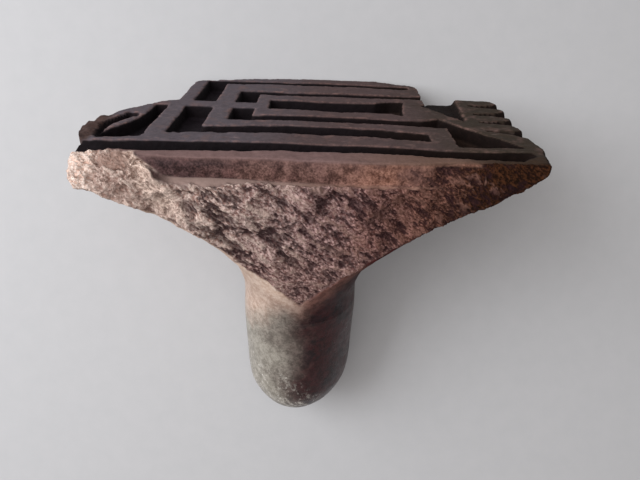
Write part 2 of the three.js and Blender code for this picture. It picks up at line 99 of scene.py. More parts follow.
def to_stamp(points):
    return (np.asarray(points) - np.array(ORIGIN)) @ AXES.T / MM


# Most pairs of numbers below are ranges for this function, such as places along an axis
def ease(low, high, values):
    """Goes smoothly from 0 at low to 1 at high."""
    part = np.clip((values - low) / (high - low), 0.0, 1.0)
    return part * part * (3.0 - 2.0 * part)


# Noise fields. Each is fixed by its place in space, so every run gives the same stamp.
OCTAVE_STEP = 2.0
USUAL_DECAY = 0.9


def soft_noise(points, size, octaves=1, offset=0.0, decay=USUAL_DECAY):
    """Smooth noise from about -1 to 1, with features of this size and smaller ones in further octaves."""
    places = (points / size + offset).tolist()
    if octaves == 1:
        return np.array([noise.noise(place) for place in places])
    return np.array([noise.fractal(place, decay, OCTAVE_STEP, octaves) for place in places])


def three_noises(points, size, offset):
    return np.stack([soft_noise(points, size, 1, offset * (axis + 1)) for axis in range(3)], axis=1)


# The body of clay: one closed skin round all the solids. Shifted copies close the seams between them.
VOXEL = 0.25 * MM
OVERLAP = 0.5
COPIES = [
    ("face_slab", 0.0),
    ("face_slab", -OVERLAP),
    ("slab_slip", 0.0),
    ("slab_slip", -OVERLAP),
    ("backing", 0.0),
    ("neck_coil", 0.0),
    ("neck_coil", OVERLAP),
    ("stem_slip", 0.0),
    ("stem", 0.0),
    ("stem", OVERLAP),
]


def joined_solids():
    joined = bmesh.new()
    for name, rise in COPIES:
        start = len(joined.verts)
        joined.from_mesh(frame["nodes"][name].data)
        joined.verts.ensure_lookup_table()
        for vertex in joined.verts[start:]:
            vertex.co += FACE_OUT * rise * MM
    mesh = bpy.data.meshes.new("joined")
    joined.to_mesh(mesh)
    joined.free()
    return mesh


def remeshed(mesh):
    body = bpy.data.objects.new("joined", mesh)
    bpy.context.scene.collection.objects.link(body)
    remesh = body.modifiers.new("remesh", "REMESH")
    remesh.mode = "VOXEL"
    remesh.voxel_size = VOXEL
    graph = bpy.context.evaluated_depsgraph_get()
    result = bpy.data.meshes.new_from_object(body.evaluated_get(graph))
    bpy.data.objects.remove(body)
    bpy.data.meshes.remove(mesh)
    return result


def outer_shell(mesh):
    """Drops the walls of the hollows that the joints leave inside."""
    shell = bmesh.new()
    shell.from_mesh(mesh)
    start = max(shell.verts, key=lambda vertex: vertex.co.x)
    reached = {start}
    frontier = [start]
    while frontier:
        vertex = frontier.pop()
        for edge in vertex.link_edges:
            other = edge.other_vert(vertex)
            if other not in reached:
                reached.add(other)
                frontier.append(other)
    inside = [vertex for vertex in shell.verts if vertex not in reached]
    bmesh.ops.delete(shell, geom=inside, context="VERTS")
    return shell


# Where the broken front lies
def break_at(x, z):
    """Place of the break across the stamp, without its lumps."""
    return BREAK_Y - BREAK_LEAN * z + BREAK_TURN * x


def wall_at(x):
    """Place across the stamp of the smooth wall under the nearest ridge."""
    turned = np.clip((x - WALL_TURN) / (WALL_RIGHT - WALL_TURN), 0.0, 1.0)
    return WALL_Y + (SLOPE_Y - WALL_Y) * turned


LEDGE_WIDTH = 2.6
LEDGE_LOSS = 1.9
LEDGE_LOSS_X = (-17.0, -6.0)
LEDGE_WAVE = 0.35
SHORT_WAVE = 0.9
LONG_WAVE = 0.37
LONG_WAVE_START = 1.0


def before_ledge(x, y):
    """How far points lie in front of the smooth strip along the foot of the wall."""
    width = LEDGE_WIDTH - LEDGE_LOSS * ease(*LEDGE_LOSS_X, x)
    width += LEDGE_WAVE * np.sin(SHORT_WAVE * x) * np.sin(LONG_WAVE * x + LONG_WAVE_START)
    return wall_at(x) - width - y


def behind_slope(points):
    """How far points lie behind the slopes on which the ends of the slab are broken."""
    x, y, z = points.T
    foot = break_at(np.where(x < 0, SLOPE_MIDDLE_LEFT, SLOPE_MIDDLE_RIGHT), SLIP_TOP)
    tilt = np.arctan2(SLOPE_Y - foot, -SLIP_TOP)
    return (y - SLOPE_Y) * np.cos(tilt) - z * np.sin(tilt)


def over_wedge(x, z):
    """How far points lie over the two edges that run down to the tip of the broken front."""
    rise = np.where(x < TIP_X, TIP_RISE_LEFT, TIP_RISE_RIGHT)
    return z - TIP_Z - np.abs(x - TIP_X) * rise


CURVE_STEPS = 400
LEAST_RADIUS = 1.0


def inside_bell(points):
    """How far points lie under the skin of the bell."""
    x, y, z = points.T
    t = np.linspace(0.0, 1.0, CURVE_STEPS)
    radii = STEM_RADIUS * (1 - t) ** 2 + 2 * FLARE_CORNER_RADIUS * t * (1 - t) + FLARE_RADIUS * t * t
    levels = NECK * (1 - t) ** 2 + 2 * FLARE_CORNER_LEVEL * t * (1 - t) + FLARE_LEVEL * t * t
    radius = np.maximum(np.hypot(x, y), LEAST_RADIUS)
    fade = np.clip(np.abs(radius - SHOULDER_RADIUS) / SHOULDER_WIDTH, 0.0, 1.0)
    skew = SHOULDER_SKEW * x / radius * np.cos(fade * math.pi / 2) ** 2
    steepness = np.interp(radius, radii, np.gradient(levels, radii))
    return (z - np.interp(radius, radii, levels) + skew) / np.hypot(1.0, steepness)


FRONT_FACING = (-0.2, -0.5)
FRONT_REACH = (2.6, 2.0)
UNDER_SKIN = (0.08, 0.3)
WEDGE_EDGE = (-0.1, 0.2)
WEDGE_LEVEL = (-16.0, -18.0)
LEFT_SLOPE_X = (WALL_LEFT + 0.5, WALL_LEFT - 0.5)
RIGHT_SLOPE_X = (WALL_RIGHT - 1.0, WALL_RIGHT)
SLOPE_REACH = (1.2, 0.7)
ROUGH_WALL_X = (13.0, 22.0)
ROUGH_WALL_REACH = (1.0, 0.4)
ROUGH_WALL_LEVEL = (-0.4, -1.0)
LEDGE_CLEAR_LEVEL = (-4.6, -4.0)
LEDGE_CLEAR_REACH = (0.9, 1.3)
STRIP_X = (19.0, 23.0)
STRIP_REACH = (0.3, 0.0)
STRIP_TOP = (-3.0, -3.3)
STRIP_BOTTOM = (-6.0, -5.0)
APRON_REACH = (0.0, 0.3)
APRON_BOTTOM = (-4.4, -3.9)
APRON_TOP = (-2.8, -3.3)
APRON_LEFT = (WALL_LEFT, WALL_LEFT + 2.0)
APRON_RIGHT = (24.0, 20.0)


def front_mask(points, normals):
    """1 on the broken front of the stamp, 0 elsewhere."""
    x, y, z = points.T
    facing = ease(*FRONT_FACING, normals[:, 1])
    behind_break = y - break_at(x, z)
    behind_wall = y - wall_at(x)
    body = ease(*UNDER_SKIN, inside_bell(points)) * ease(SLAB_BACK, SLIP_TOP, z)
    body *= ease(*FRONT_REACH, behind_break)
    wedge = ease(*WEDGE_EDGE, over_wedge(x, z))
    body = body + (wedge - body) * ease(*WEDGE_LEVEL, z)
    body *= 1.0 - ease(*LEDGE_CLEAR_LEVEL, z) * ease(*LEDGE_CLEAR_REACH, behind_break)
    beside = np.maximum(ease(*LEFT_SLOPE_X, x), ease(*RIGHT_SLOPE_X, x))
    slope = ease(*SLOPE_REACH, behind_slope(points)) * beside
    wall = ease(*ROUGH_WALL_X, x) * ease(*ROUGH_WALL_REACH, behind_wall) * ease(*ROUGH_WALL_LEVEL, z)
    strip = ease(*STRIP_X, x) * ease(*STRIP_REACH, behind_wall) * ease(*STRIP_TOP, z) * ease(*STRIP_BOTTOM, z)
    apron = ease(*APRON_REACH, before_ledge(x, y)) * ease(*APRON_BOTTOM, z) * ease(*APRON_TOP, z)
    apron *= ease(*APRON_LEFT, x) * ease(*APRON_RIGHT, x)
    return np.maximum(facing * np.maximum(body, np.maximum(slope, wall)), np.maximum(strip, apron))


def points_and_normals(mesh):
    places = np.empty(len(mesh.vertices) * 3, np.float32)
    mesh.vertices.foreach_get("co", places)
    normals = np.empty(len(mesh.vertices) * 3, np.float32)
    mesh.vertex_normals.foreach_get("vector", normals)
    return to_stamp(places.reshape(-1, 3).astype(float)), normals.reshape(-1, 3).astype(float) @ AXES.T


FINE_FROM = 0.3


def with_finer_break(shell):
    """Halves the cells of the skin on the break."""
    mesh = bpy.data.meshes.new("clay")
    shell.to_mesh(mesh)
    front = front_mask(*points_and_normals(mesh)) > FINE_FROM
    shell.verts.ensure_lookup_table()
    edges = [edge for edge in shell.edges if front[edge.verts[0].index] and front[edge.verts[1].index]]
    bmesh.ops.subdivide_edges(shell, edges=edges, cuts=1, use_grid_fill=True)
    shell.to_mesh(mesh)
    shell.free()
    return mesh


class Skin:
    """The skin of the clay, as points in the stamp's axes and the edges between them."""

    def __init__(self, mesh):
        self.mesh = mesh
        self.points, self.normals = points_and_normals(mesh)
        edges = np.empty(len(mesh.edges) * 2, np.int32)
        mesh.edges.foreach_get("vertices", edges)
        self.edges = edges.reshape(-1, 2)
        self.degree = np.bincount(self.edges.ravel(), minlength=len(self.points))

    def around(self, values):
        """The mean over each point's neighbours."""
        first, second = self.edges.T
        count = len(self.points)
        total = np.bincount(first, values[second], count) + np.bincount(second, values[first], count)
        return total / self.degree

    def smoothed(self, values, rounds):
        for _ in range(rounds):
            values = 0.5 * values + 0.5 * self.around(values)
        return values

    def smooth(self, rounds, share=1.0):
        """Draws each point towards its neighbours, by a share from 0 to 1."""
        for _ in range(rounds):
            means = np.stack([self.around(self.points[:, axis]) for axis in range(3)], axis=1)
            self.points += (means - self.points) * 0.5 * np.reshape(share, (-1, 1))

    def bulges(self, rounds):
        """How far each point stands out of its surroundings."""
        plain = np.stack([self.smoothed(self.points[:, axis], rounds) for axis in range(3)], axis=1)
        return np.einsum("ij,ij->i", self.points - plain, self.normals)

    def refresh(self):
        """Writes the points to the mesh and takes the normals anew."""
        self.mesh.vertices.foreach_set("co", to_frame(self.points).astype(np.float32).ravel())
        self.mesh.update()
        self.points, self.normals = points_and_normals(self.mesh)

    def store(self, name, values):
        values = np.asarray(values, np.float32)
        kind = "FLOAT_VECTOR" if values.ndim == 2 else "FLOAT"
        attribute = self.mesh.attributes.new(name, kind, "POINT")
        attribute.data.foreach_set("vector" if values.ndim == 2 else "value", values.ravel())


# Carving of the face
SWELL = 0.5
SWELL_X = (-31.0, -34.5)
SWELL_NEAR = (-6.0, 0.0)
SWELL_FAR = (13.0, 4.0)
SWELL_LEVEL = (-7.0, -3.5)
SLANT = 2.0
SLANT_X = (-31.5, -34.0)
SLANT_FAR = (-5.0, -7.0)
SLANT_NEAR = (-10.6, -9.6)
SLANT_TOP = (-0.2, -2.2)
SLANT_BOTTOM = (-4.5, -3.4)
TROUGH = [
    (-32.7, -4.2), (-32.7, -1.7), (-32.6, 0.8), (-30.8, 4.4), (-29.7, 7.1), (-29.7, 8.3),
    (-31.6, 8.3), (-32.8, 5.9), (-33.7, 3.9), (-34.1, 1.7), (-34.0, -0.9), (-33.6, -3.8),
]
TROUGH_FLOOR = -1.8
WING_BAND = [
    (-33.0, -5.0), (-33.0, 1.0), (-31.2, 4.6), (-30.0, 7.5), (-28.9, 11.0), (-28.9, 13.2),
    (-31.0, 11.5), (-38.5, 8.0), (-38.5, -5.0),
]
WING_BAND_BACK = -1.6
GROOVE_END = [(-30.5, -6.9), (-33.0, -7.4), (-37.0, -9.4), (-37.0, -10.8), (-30.5, -10.3)]
NOTCH_SIDE = [(28.3, 10.2), (29.1, 8.9), (29.7, 23.5), (28.3, 23.5)]
NOTCH_FLOOR = -1.3
FINGER_TIP_X = 31.7
FINGER_OPEN_X = 40.0
FINGER_FLOOR = -2.2
# Each slit between two fingers has its place across the stamp and how far its open end lies aside
SLITS = [(19.2, 0.0), (14.1, 0.0), (9.0, 0.0), (3.9, -1.5)]
SLIT_TIP = 0.3
SLIT_OPEN = 1.8
CUT_EDGE = (-0.1, 0.35)


def inside_outline(x, y, outline):
    """How far points lie inside an outline, less than 0 outside it."""
    inside = np.zeros(len(x), bool)
    distance = np.full(len(x), np.inf)
    for (start_x, start_y), (end_x, end_y) in zip(outline, outline[1:] + outline[:1]):
        run, climb = end_x - start_x, end_y - start_y
        share = np.clip(((x - start_x) * run + (y - start_y) * climb) / (run * run + climb * climb), 0.0, 1.0)
        distance = np.minimum(distance, np.hypot(x - start_x - share * run, y - start_y - share * climb))
        if climb:
            crossed = (start_y > y) != (end_y > y)
            inside ^= crossed & (x < start_x + (y - start_y) / climb * run)
    return np.where(inside, distance, -distance)


def slit_outline(middle, aside):
    open_middle = middle + aside
    return [
        (FINGER_TIP_X, middle - SLIT_TIP),
        (FINGER_OPEN_X, open_middle - SLIT_OPEN),
        (FINGER_OPEN_X, open_middle + SLIT_OPEN),
        (FINGER_TIP_X, middle + SLIT_TIP),
    ]


def carve_face(skin):
    """Swells the left wing, and widens its trough, the left end of the long groove, the notch and the slits."""
    x, y, z = skin.points.T
    swell = ease(*SWELL_X, x) * ease(*SWELL_NEAR, y) * ease(*SWELL_FAR, y) * ease(*SWELL_LEVEL, z)
    skin.points[:, 0] -= SWELL * swell
    slant = ease(*SLANT_X, x) * ease(*SLANT_FAR, y) * ease(*SLANT_NEAR, y)
    slant *= ease(*SLANT_TOP, z) * ease(*SLANT_BOTTOM, z)
    skin.points[:, 0] -= SLANT * slant
    band = (inside_outline(x, y, WING_BAND) > 0.0) & (z > WING_BAND_BACK)
    skin.points[band, 2] = 0.0
    cuts = [(TROUGH, TROUGH_FLOOR), (GROOVE_END, GROOVE_FLOOR), (NOTCH_SIDE, NOTCH_FLOOR)]
    cuts += [(slit_outline(middle, aside), FINGER_FLOOR) for middle, aside in SLITS]
    for outline, floor in cuts:
        depth = floor * ease(*CUT_EDGE, inside_outline(x, y, outline))
        face = (z > SLAB_BACK) & (depth < 0.0)
        skin.points[face, 2] = np.minimum(z, depth)[face]


# Ends of the broken front
ENDS_NEAR = (-9.8, -10.8)
ENDS_LEVEL = (-6.5, -4.5)
STEP_REACH = (3.0, 1.0)
STEP_SHARE = 0.6
STEP_ROUNDS = 60
SCAR_REACH = (11.0, 1.0)
SCAR_SHIFT = 4.2
SCAR_LEAN = 1.4
MERGE_LEFT = (17.0, 27.5)
MERGE_RIGHT = (31.0, 29.0)
MERGE_LEVEL = (-5.6, -4.2)
MERGE_NEAR = (-9.9, -10.5)
OUTMOST = 0.2
OUTMOST_LOW = 1.8
OUTMOST_TOP = -3.6
OUTMOST_BOTTOM = -9.0
OUTMOST_LEVEL = (-4.4, OUTMOST_BOTTOM)


def break_ends(skin):
    """Breaks off the left end of the wall along a slanting scar, and runs its right end into the slope."""
    x, y, z = skin.points.T
    near = ease(*ENDS_NEAR, y) * ease(*ENDS_LEVEL, z)
    skin.smooth(STEP_ROUNDS, near * STEP_SHARE * ease(*STEP_REACH, np.abs(x - WALL_LEFT)))
    scar = near * ease(*SCAR_REACH, np.abs(x - WALL_LEFT))
    skin.points[:, 0] -= scar * (SCAR_SHIFT + SCAR_LEAN * z)
    foot = break_at(SLOPE_MIDDLE_RIGHT, SLIP_TOP)
    slope = SLOPE_Y + (foot - SLOPE_Y) * z / SLIP_TOP
    merge = ease(*MERGE_LEFT, x) * ease(*MERGE_RIGHT, x) * ease(*MERGE_LEVEL, z) * ease(*MERGE_NEAR, y)
    skin.points[:, 1] += merge * (slope - y)
    limit = break_at(x, z) - OUTMOST - OUTMOST_LOW * ease(*OUTMOST_LEVEL, z)
    edge = (z < OUTMOST_TOP) & (z > OUTMOST_BOTTOM) & (y < limit)
    skin.points[edge, 1] = limit[edge]


FINGER_END_X = (36.5, 38.0)
FINGER_END_Y = (-4.0, -1.0)
FINGER_END_LEVEL = (-3.2, -2.6)
FINGER_END_SHARE = 0.5
TRIM = 2.4
TRIM_X = (31.0, 37.0)
TRIM_LEVEL = (-1.0, -4.5)
TRIM_Y = (0.0, -5.0)
NOSE_X = (33.0, 37.0)
NOSE_Y = (-3.0, -6.0)
NOSE_SHARE = 0.9
CORNER_X = (-31.0, -33.5)
CORNER_Y = (-8.0, -10.0)
CORNER_LEVEL = (-13.0, -10.0)
ENDS_ROUNDS = 30
LOW_CORNER_LEVEL = (-5.0, -6.5)
LOW_CORNER_ROUNDS = 50
JOIN_X = (26.5, 29.5)
JOIN_Y = (-7.0, -9.5)
JOIN_BOTTOM = (-10.0, -7.5)
JOIN_TOP = (-1.5, -3.0)
JOIN_ROUNDS = 60


def round_ends(skin):
    """Rounds the fingers, the right nose, the left corner and the place where wall and slope meet."""
    x, y, z = skin.points.T
    fingers = FINGER_END_SHARE * ease(*FINGER_END_X, x) * ease(*FINGER_END_Y, y) * ease(*FINGER_END_LEVEL, z)
    skin.points[:, 0] -= TRIM * ease(*TRIM_X, x) * ease(*TRIM_LEVEL, z) * ease(*TRIM_Y, y)
    nose = NOSE_SHARE * ease(*NOSE_X, x) * ease(*NOSE_Y, y)
    corner = ease(*CORNER_X, x) * ease(*CORNER_Y, y) * ease(*CORNER_LEVEL, z)
    skin.smooth(ENDS_ROUNDS, np.maximum(fingers, np.maximum(nose, corner)))
    skin.smooth(LOW_CORNER_ROUNDS, corner * ease(*LOW_CORNER_LEVEL, z))
    join = ease(*JOIN_X, x) * ease(*JOIN_Y, y) * ease(*JOIN_BOTTOM, z) * ease(*JOIN_TOP, z)
    skin.smooth(JOIN_ROUNDS, join)


NECK_LOSS = 0.07
NECK_LOSS_TOP = (-18.5, -23.0)
NECK_LOSS_BOTTOM = (-34.0, -27.0)
STEM_LOSS = 1.1
STEM_LOSS_LEVEL = (-46.0, -58.0)
STEM_LOSS_X = (-8.0, 6.0)


def narrow_neck(skin):
    """Draws in the sides of the neck and the right side of the stem's end."""
    x, y, z = skin.points.T
    skin.points[:, 0] *= 1.0 - NECK_LOSS * ease(*NECK_LOSS_TOP, z) * ease(*NECK_LOSS_BOTTOM, z)
    skin.points[:, 0] -= STEM_LOSS * ease(*STEM_LOSS_LEVEL, z) * ease(*STEM_LOSS_X, x)


SMEAR = 0.45
SMEAR_LEFT = (-21.5, -16.0)
SMEAR_RIGHT = (-3.0, -11.0)
SMEAR_BOTTOM = (-4.6, SLIP_TOP)
SMEAR_TOP = (-0.6, SLIP_TOP)
SMEAR_NEAR = (-15.0, -12.7)
SMEAR_FAR = (-12.2, -12.7)


def raise_ledge(skin):
    """Smears the left part of the ledge up the foot of the wall."""
    x, y, z = skin.points.T
    along = ease(*SMEAR_LEFT, x) * ease(*SMEAR_RIGHT, x)
    level = ease(*SMEAR_BOTTOM, z) * ease(*SMEAR_TOP, z)
    slant = ease(*SMEAR_NEAR, y) * ease(*SMEAR_FAR, y)
    skin.points[:, 2] += SMEAR * along * level * slant


# Wear of the face. A noise has its size, octaves and offset, and its decay where that isn't the usual one.
FACE_LEVEL = (-3.3, -2.9)
SHARP_ROUNDS = 10
SHARP = (0.03, 0.16)
CHIP_NOISE = (1.3, 2, 3.1)
CHIP_FROM = (0.15, 0.5)
CHIP_X = (31.0, 29.0)
CHIP_DEPTH = 0.28
ROUGH_NOISE = (0.9, 3, 8.8)
ROUGH_DEPTH = 0.05
DENT_NOISE = (2.6, 2, 4.4)
DENT_STRETCH = (0.5, 1.0, 1.0)
DENT_FROM = (0.1, 0.6)
DENT_LEVEL = (-0.5, -0.1)
DENT_DEPTH = 0.14
WORN_NOISE = (1.8, 2, 1.7)
WORN_X = (-32.0, -35.0)
WORN_Y = (-9.0, -6.0)
WORN_DEPTH = 0.3
WORN_CHANGE = 0.45


def wear_face(skin, plain, front):
    """Chips the edges of the carved face, dents and wears its tops and roughens it."""
    x, y, z = plain.T
    face = ease(*FACE_LEVEL, z) * (1.0 - front)
    chip = ease(*CHIP_FROM, soft_noise(skin.points, *CHIP_NOISE)) * face * ease(*CHIP_X, x)
    chip *= ease(*SHARP, skin.bulges(SHARP_ROUNDS))
    rough = soft_noise(skin.points, *ROUGH_NOISE)
    dents = ease(*DENT_FROM, soft_noise(skin.points * DENT_STRETCH, *DENT_NOISE)) * ease(*DENT_LEVEL, z) * face
    wear_and_highlight = WORN_DEPTH + WORN_CHANGE * soft_noise(skin.points, *WORN_NOISE)
    wear_and_highlight *= ease(*WORN_X, x) * ease(*WORN_Y, y) * face
    skin.points -= skin.normals * (CHIP_DEPTH * chip + ROUGH_DEPTH * face * rough)[:, None]
    skin.points[:, 2] -= wear_and_highlight + DENT_DEPTH * dents


# Relief of the broken front
STREAK_TURN = math.radians(-40.0)
OVAL_NOISE = (1.1, 2, 7.3)
OVAL_RAGGED = 0.3
OVAL_EDGE = (1.1, 0.75)
# Ovals on the front have their X, Z, half width and half height
HOLE = (-23.2, -2.0, 2.0, 1.3)
FLAKE = (-27.4, -1.0, 2.5, 0.95)
LUMP_NOISE = (3.2, 3, 2.2, 0.7)
LUMP_STRETCH = (0.45, 1.0, 1.0)
LUMP_HEIGHT = 0.55
PLATE_NOISE = (1.4, 4, 5.2, 0.5)
PLATE_STRETCH = (0.42, 1.0, 1.0)
PLATE_HEIGHT = 0.36
GRAIN_NOISE = (0.5, 2, 9.1, 0.25)
GRAIN_STRETCH = (0.6, 1.0, 1.0)
GRAIN_HEIGHT = 0.12
RIGHT_X = (10.0, 22.0)
RIGHT_LOSS = 0.02
CALM = 0.85
CALM_LEFT_X = (-32.5, -34.5)
CALM_RIGHT = 0.75
CALM_RIGHT_X = (26.0, 30.0)
CALM_RIGHT_LEVEL = (-4.5, -2.0)
TIP_LEVEL = (-15.0, -22.0)
TIP_CALM = 0.3
TIP_DEPTH = 0.3
HOLE_DEPTH = 0.7
FLAKE_CALM = 0.8
FLAKE_HEIGHT = 0.35
UPWARD = (0.3, 0.7)
UPWARD_LUMPS = 0.5
UPWARD_GRAINS = 1.2
LEAST_FRONT = 0.01


def streak_places(points):
    """Places along and across the streaks of the break."""
    x, y, z = points.T
    run = x * math.cos(STREAK_TURN) + z * math.sin(STREAK_TURN)
    cross = z * math.cos(STREAK_TURN) - x * math.sin(STREAK_TURN)
    return np.stack([run, y, cross], axis=1)


def oval_at(points, x, z, half_width, half_height):
    """1 in the middle of a ragged oval on the front, 0 outside it."""
    reach = np.hypot((points[:, 0] - x) / half_width, (points[:, 2] - z) / half_height)
    return ease(*OVAL_EDGE, reach + OVAL_RAGGED * soft_noise(points, *OVAL_NOISE))


def roughen_break(skin, front):
    """Lumps and grains of the coarse clay. Returns how far the lumps and the grains push each point out."""
    broken = np.flatnonzero(front > LEAST_FRONT)
    points = skin.points[broken]
    x, y, z = points.T
    places = streak_places(points)
    tip = ease(*TIP_LEVEL, z)
    right = RIGHT_LOSS * ease(*RIGHT_X, x)
    right_end = CALM_RIGHT * ease(*CALM_RIGHT_X, x) * ease(*CALM_RIGHT_LEVEL, z)
    calm = (1.0 - CALM * np.maximum(ease(*CALM_LEFT_X, x), right_end)) * (1.0 - TIP_CALM * tip)
    lumps = LUMP_HEIGHT * soft_noise(places * LUMP_STRETCH, *LUMP_NOISE) * calm
    grains = (PLATE_HEIGHT - right) * soft_noise(places * PLATE_STRETCH, *PLATE_NOISE)
    grains += (GRAIN_HEIGHT - right) * soft_noise(places * GRAIN_STRETCH, *GRAIN_NOISE)
    flake = oval_at(points, *FLAKE)
    grains *= calm * (1.0 - FLAKE_CALM * flake)
    pits = TIP_DEPTH * tip + HOLE_DEPTH * oval_at(points, *HOLE)
    skin.points[broken, 1] -= front[broken] * (lumps + grains - pits + FLAKE_HEIGHT * flake)
    upward = ease(*UPWARD, skin.normals[broken, 2])
    skin.points[broken, 2] += front[broken] * upward * (UPWARD_LUMPS * lumps + UPWARD_GRAINS * grains)
    pushed = np.zeros((2, len(skin.points)))
    pushed[:, broken] = lumps, grains
    return pushed


# Masks for the materials
RIM_CELL = 0.5
RIM_CELLS = 3
RIM_UNDER = GROOVE_FLOOR - 0.2
RIM_ROUNDS = 6
RIM_LEVEL = (-4.4, -3.4)
RIM_OUTWARD = (0.55, 0.85)
MOUTH_X = (-28.0, -30.0)
MOUTH_Y = (-5.5, -6.5)
LEDGE_UPWARD = (0.2, 0.5)
LEDGE_LEFT = (WALL_LEFT - 1, WALL_LEFT + 2)
LEDGE_RIGHT = (24.0, 16.0)
LEDGE_REACH = (0.2, -0.2)
LEDGE_BOTTOM = (-4.3, -3.9)
LEDGE_TOP = (-2.0, -2.6)
LEDGE_ROUNDS = 2
WALL_REACH = (0.8, 0.3)
WALL_TOP = (-0.1, -0.6)
WALL_BOTTOM = (-4.6, -3.9)
SOOT_AND_SHADE_START = -0.04
SOOT_AND_SHADE_FULL = -0.3
SOOT_AND_SHADE_FULL_FINGERS = -0.14
SOOT_AND_SHADE_OUTSIDE_LOSS = 0.75
SOOT_AND_SHADE_WALL_REACH = (0.9, 0.4)
PLATE_REACH = (1.2, 0.8)
PLATE_LEVEL = (-5.0, -4.5)
HEM_NOISE = (3.0, 3, 2.9)
HEM_DROP = (5.0, 0.4)
HEM_Y = (0.0, -4.0)
HEM_TOP_LEFT = -14.0
HEM_TOP_RIGHT = -17.0
HEM_FULL = -20.0
EDGE_ROUNDS = 12
EDGE_BULGE = (0.02, 0.14)
EDGE_Y = (-10.5, -9.5)
HOLLOW_SHADE = (-0.06, -0.24)
HOLLOW_SHADE_GRAINS = 0.5
CREVICE_SHADE = (-0.03, -0.17)
CREST_HIGHLIGHT = (0.05, 0.18)


def rim_mask(points):
    """1 close to the outline of the plate, seen along the axis of the stem."""
    cells = np.floor((points[:, :2] - points[:, :2].min(axis=0)) / RIM_CELL).astype(int) + 1
    filled = np.zeros(cells.max(axis=0) + 2, bool)
    under = points[:, 2] < RIM_UNDER
    filled[cells[under, 0], cells[under, 1]] = True
    for _ in range(RIM_CELLS):
        filled[1:-1, 1:-1] &= filled[:-2, 1:-1] & filled[2:, 1:-1] & filled[1:-1, :-2] & filled[1:-1, 2:]
    return 1.0 - filled[cells[:, 0], cells[:, 1]]


def store_masks(skin, plain, front, pushed):
    """Stores at each point what the materials need to know."""
    x, y, z = plain.T
    whole = 1.0 - front
    behind_wall = y - wall_at(x)
    facing = ease(*FRONT_FACING, skin.normals[:, 1])

    ledge = ease(*LEDGE_REACH, behind_wall) * ease(*LEDGE_BOTTOM, z) * ease(*LEDGE_TOP, z) * whole
    ledge *= ease(*LEDGE_UPWARD, skin.normals[:, 2]) * ease(*LEDGE_LEFT, x) * ease(*LEDGE_RIGHT, x)
    wall = ease(*WALL_REACH, behind_wall) * ease(*WALL_TOP, z) * ease(*WALL_BOTTOM, z)

    rim = skin.smoothed(rim_mask(plain), RIM_ROUNDS)
    outward = (skin.normals[:, 0] * x + skin.normals[:, 1] * y) / np.hypot(x, y)
    outside = rim * ease(*RIM_OUTWARD, outward) * (1.0 - ease(*MOUTH_X, x) * ease(*MOUTH_Y, y))
    # The soot mask darkens the grooves, partly for soot in them and partly as painted shade on their walls and
    # floors.
    soot_and_shade_full = np.where(x > FINGER_TIP_X, SOOT_AND_SHADE_FULL_FINGERS, SOOT_AND_SHADE_FULL)
    soot_and_shade = ease(SOOT_AND_SHADE_START, soot_and_shade_full, z) * ease(*FACE_LEVEL, z) * whole
    soot_and_shade *= (1.0 - SOOT_AND_SHADE_OUTSIDE_LOSS * outside) * (1.0 - facing * ease(*SOOT_AND_SHADE_WALL_REACH, behind_wall))
    plate = (1.0 - rim) * ease(*FACE_LEVEL, z) + rim * ease(*RIM_LEVEL, z)
    plate = np.maximum(plate, ease(*PLATE_REACH, behind_wall) * ease(*PLATE_LEVEL, z))

    drop = soft_noise(plain, *HEM_NOISE) - over_wedge(x, z)
    hem_top = np.where(x < TIP_X, HEM_TOP_LEFT, HEM_TOP_RIGHT)
    hem = ease(*HEM_DROP, drop) * ease(*HEM_Y, y) * ease(hem_top, HEM_FULL, z) * whole
    lumps, grains = pushed

    skin.store("stamp", skin.points)
    skin.store("streak", streak_places(skin.points))
    skin.store("broken", front)
    skin.store("hem", hem)
    skin.store("flake", oval_at(plain, *FLAKE) * front)
    skin.store("wall", wall * whole)
    skin.store("ledge", skin.smoothed(ledge, LEDGE_ROUNDS))
    skin.store("soot_and_shade", soot_and_shade)
    skin.store("plate", plate)
    # Raised edges of the face, where it gets a painted highlight.
    skin.store("edge", ease(*EDGE_BULGE, skin.bulges(EDGE_ROUNDS)) * ease(*EDGE_Y, y))
    # Low places of the lumps and grains, where the break gets painted shade.
    skin.store("hollow_shade", ease(*HOLLOW_SHADE, lumps + HOLLOW_SHADE_GRAINS * grains))
    skin.store("crevice_shade", ease(*CREVICE_SHADE, grains))
    # High places of the grains, where the break gets a painted highlight.
    skin.store("crest_highlight", ease(*CREST_HIGHLIGHT, grains))


# All changes of the skin, in their order
FRONT_ROUNDS = 2
SKIN_ROUNDS = 2
FINGERS_KEPT = 0.75
FINGERS_KEPT_X = (29.5, 31.0)
UNDER_LEVEL = (-4.2, -6.0)
UNDER_ROUNDS = 24
BREAK_SHARE = 0.8
BREAK_ROUNDS = 6
BROAD_HEIGHT = 0.22
BROAD_NOISE = (13.0, 11.3)
SMALL_HEIGHT = 0.07
SMALL_NOISE = (4.0, 5.7)
RAGGED_ROUNDS = 12
RAGGED_GAIN = 2.0
RAGGED_HEIGHT = 0.55
RAGGED_NOISE = (1.7, 3, 6.6)


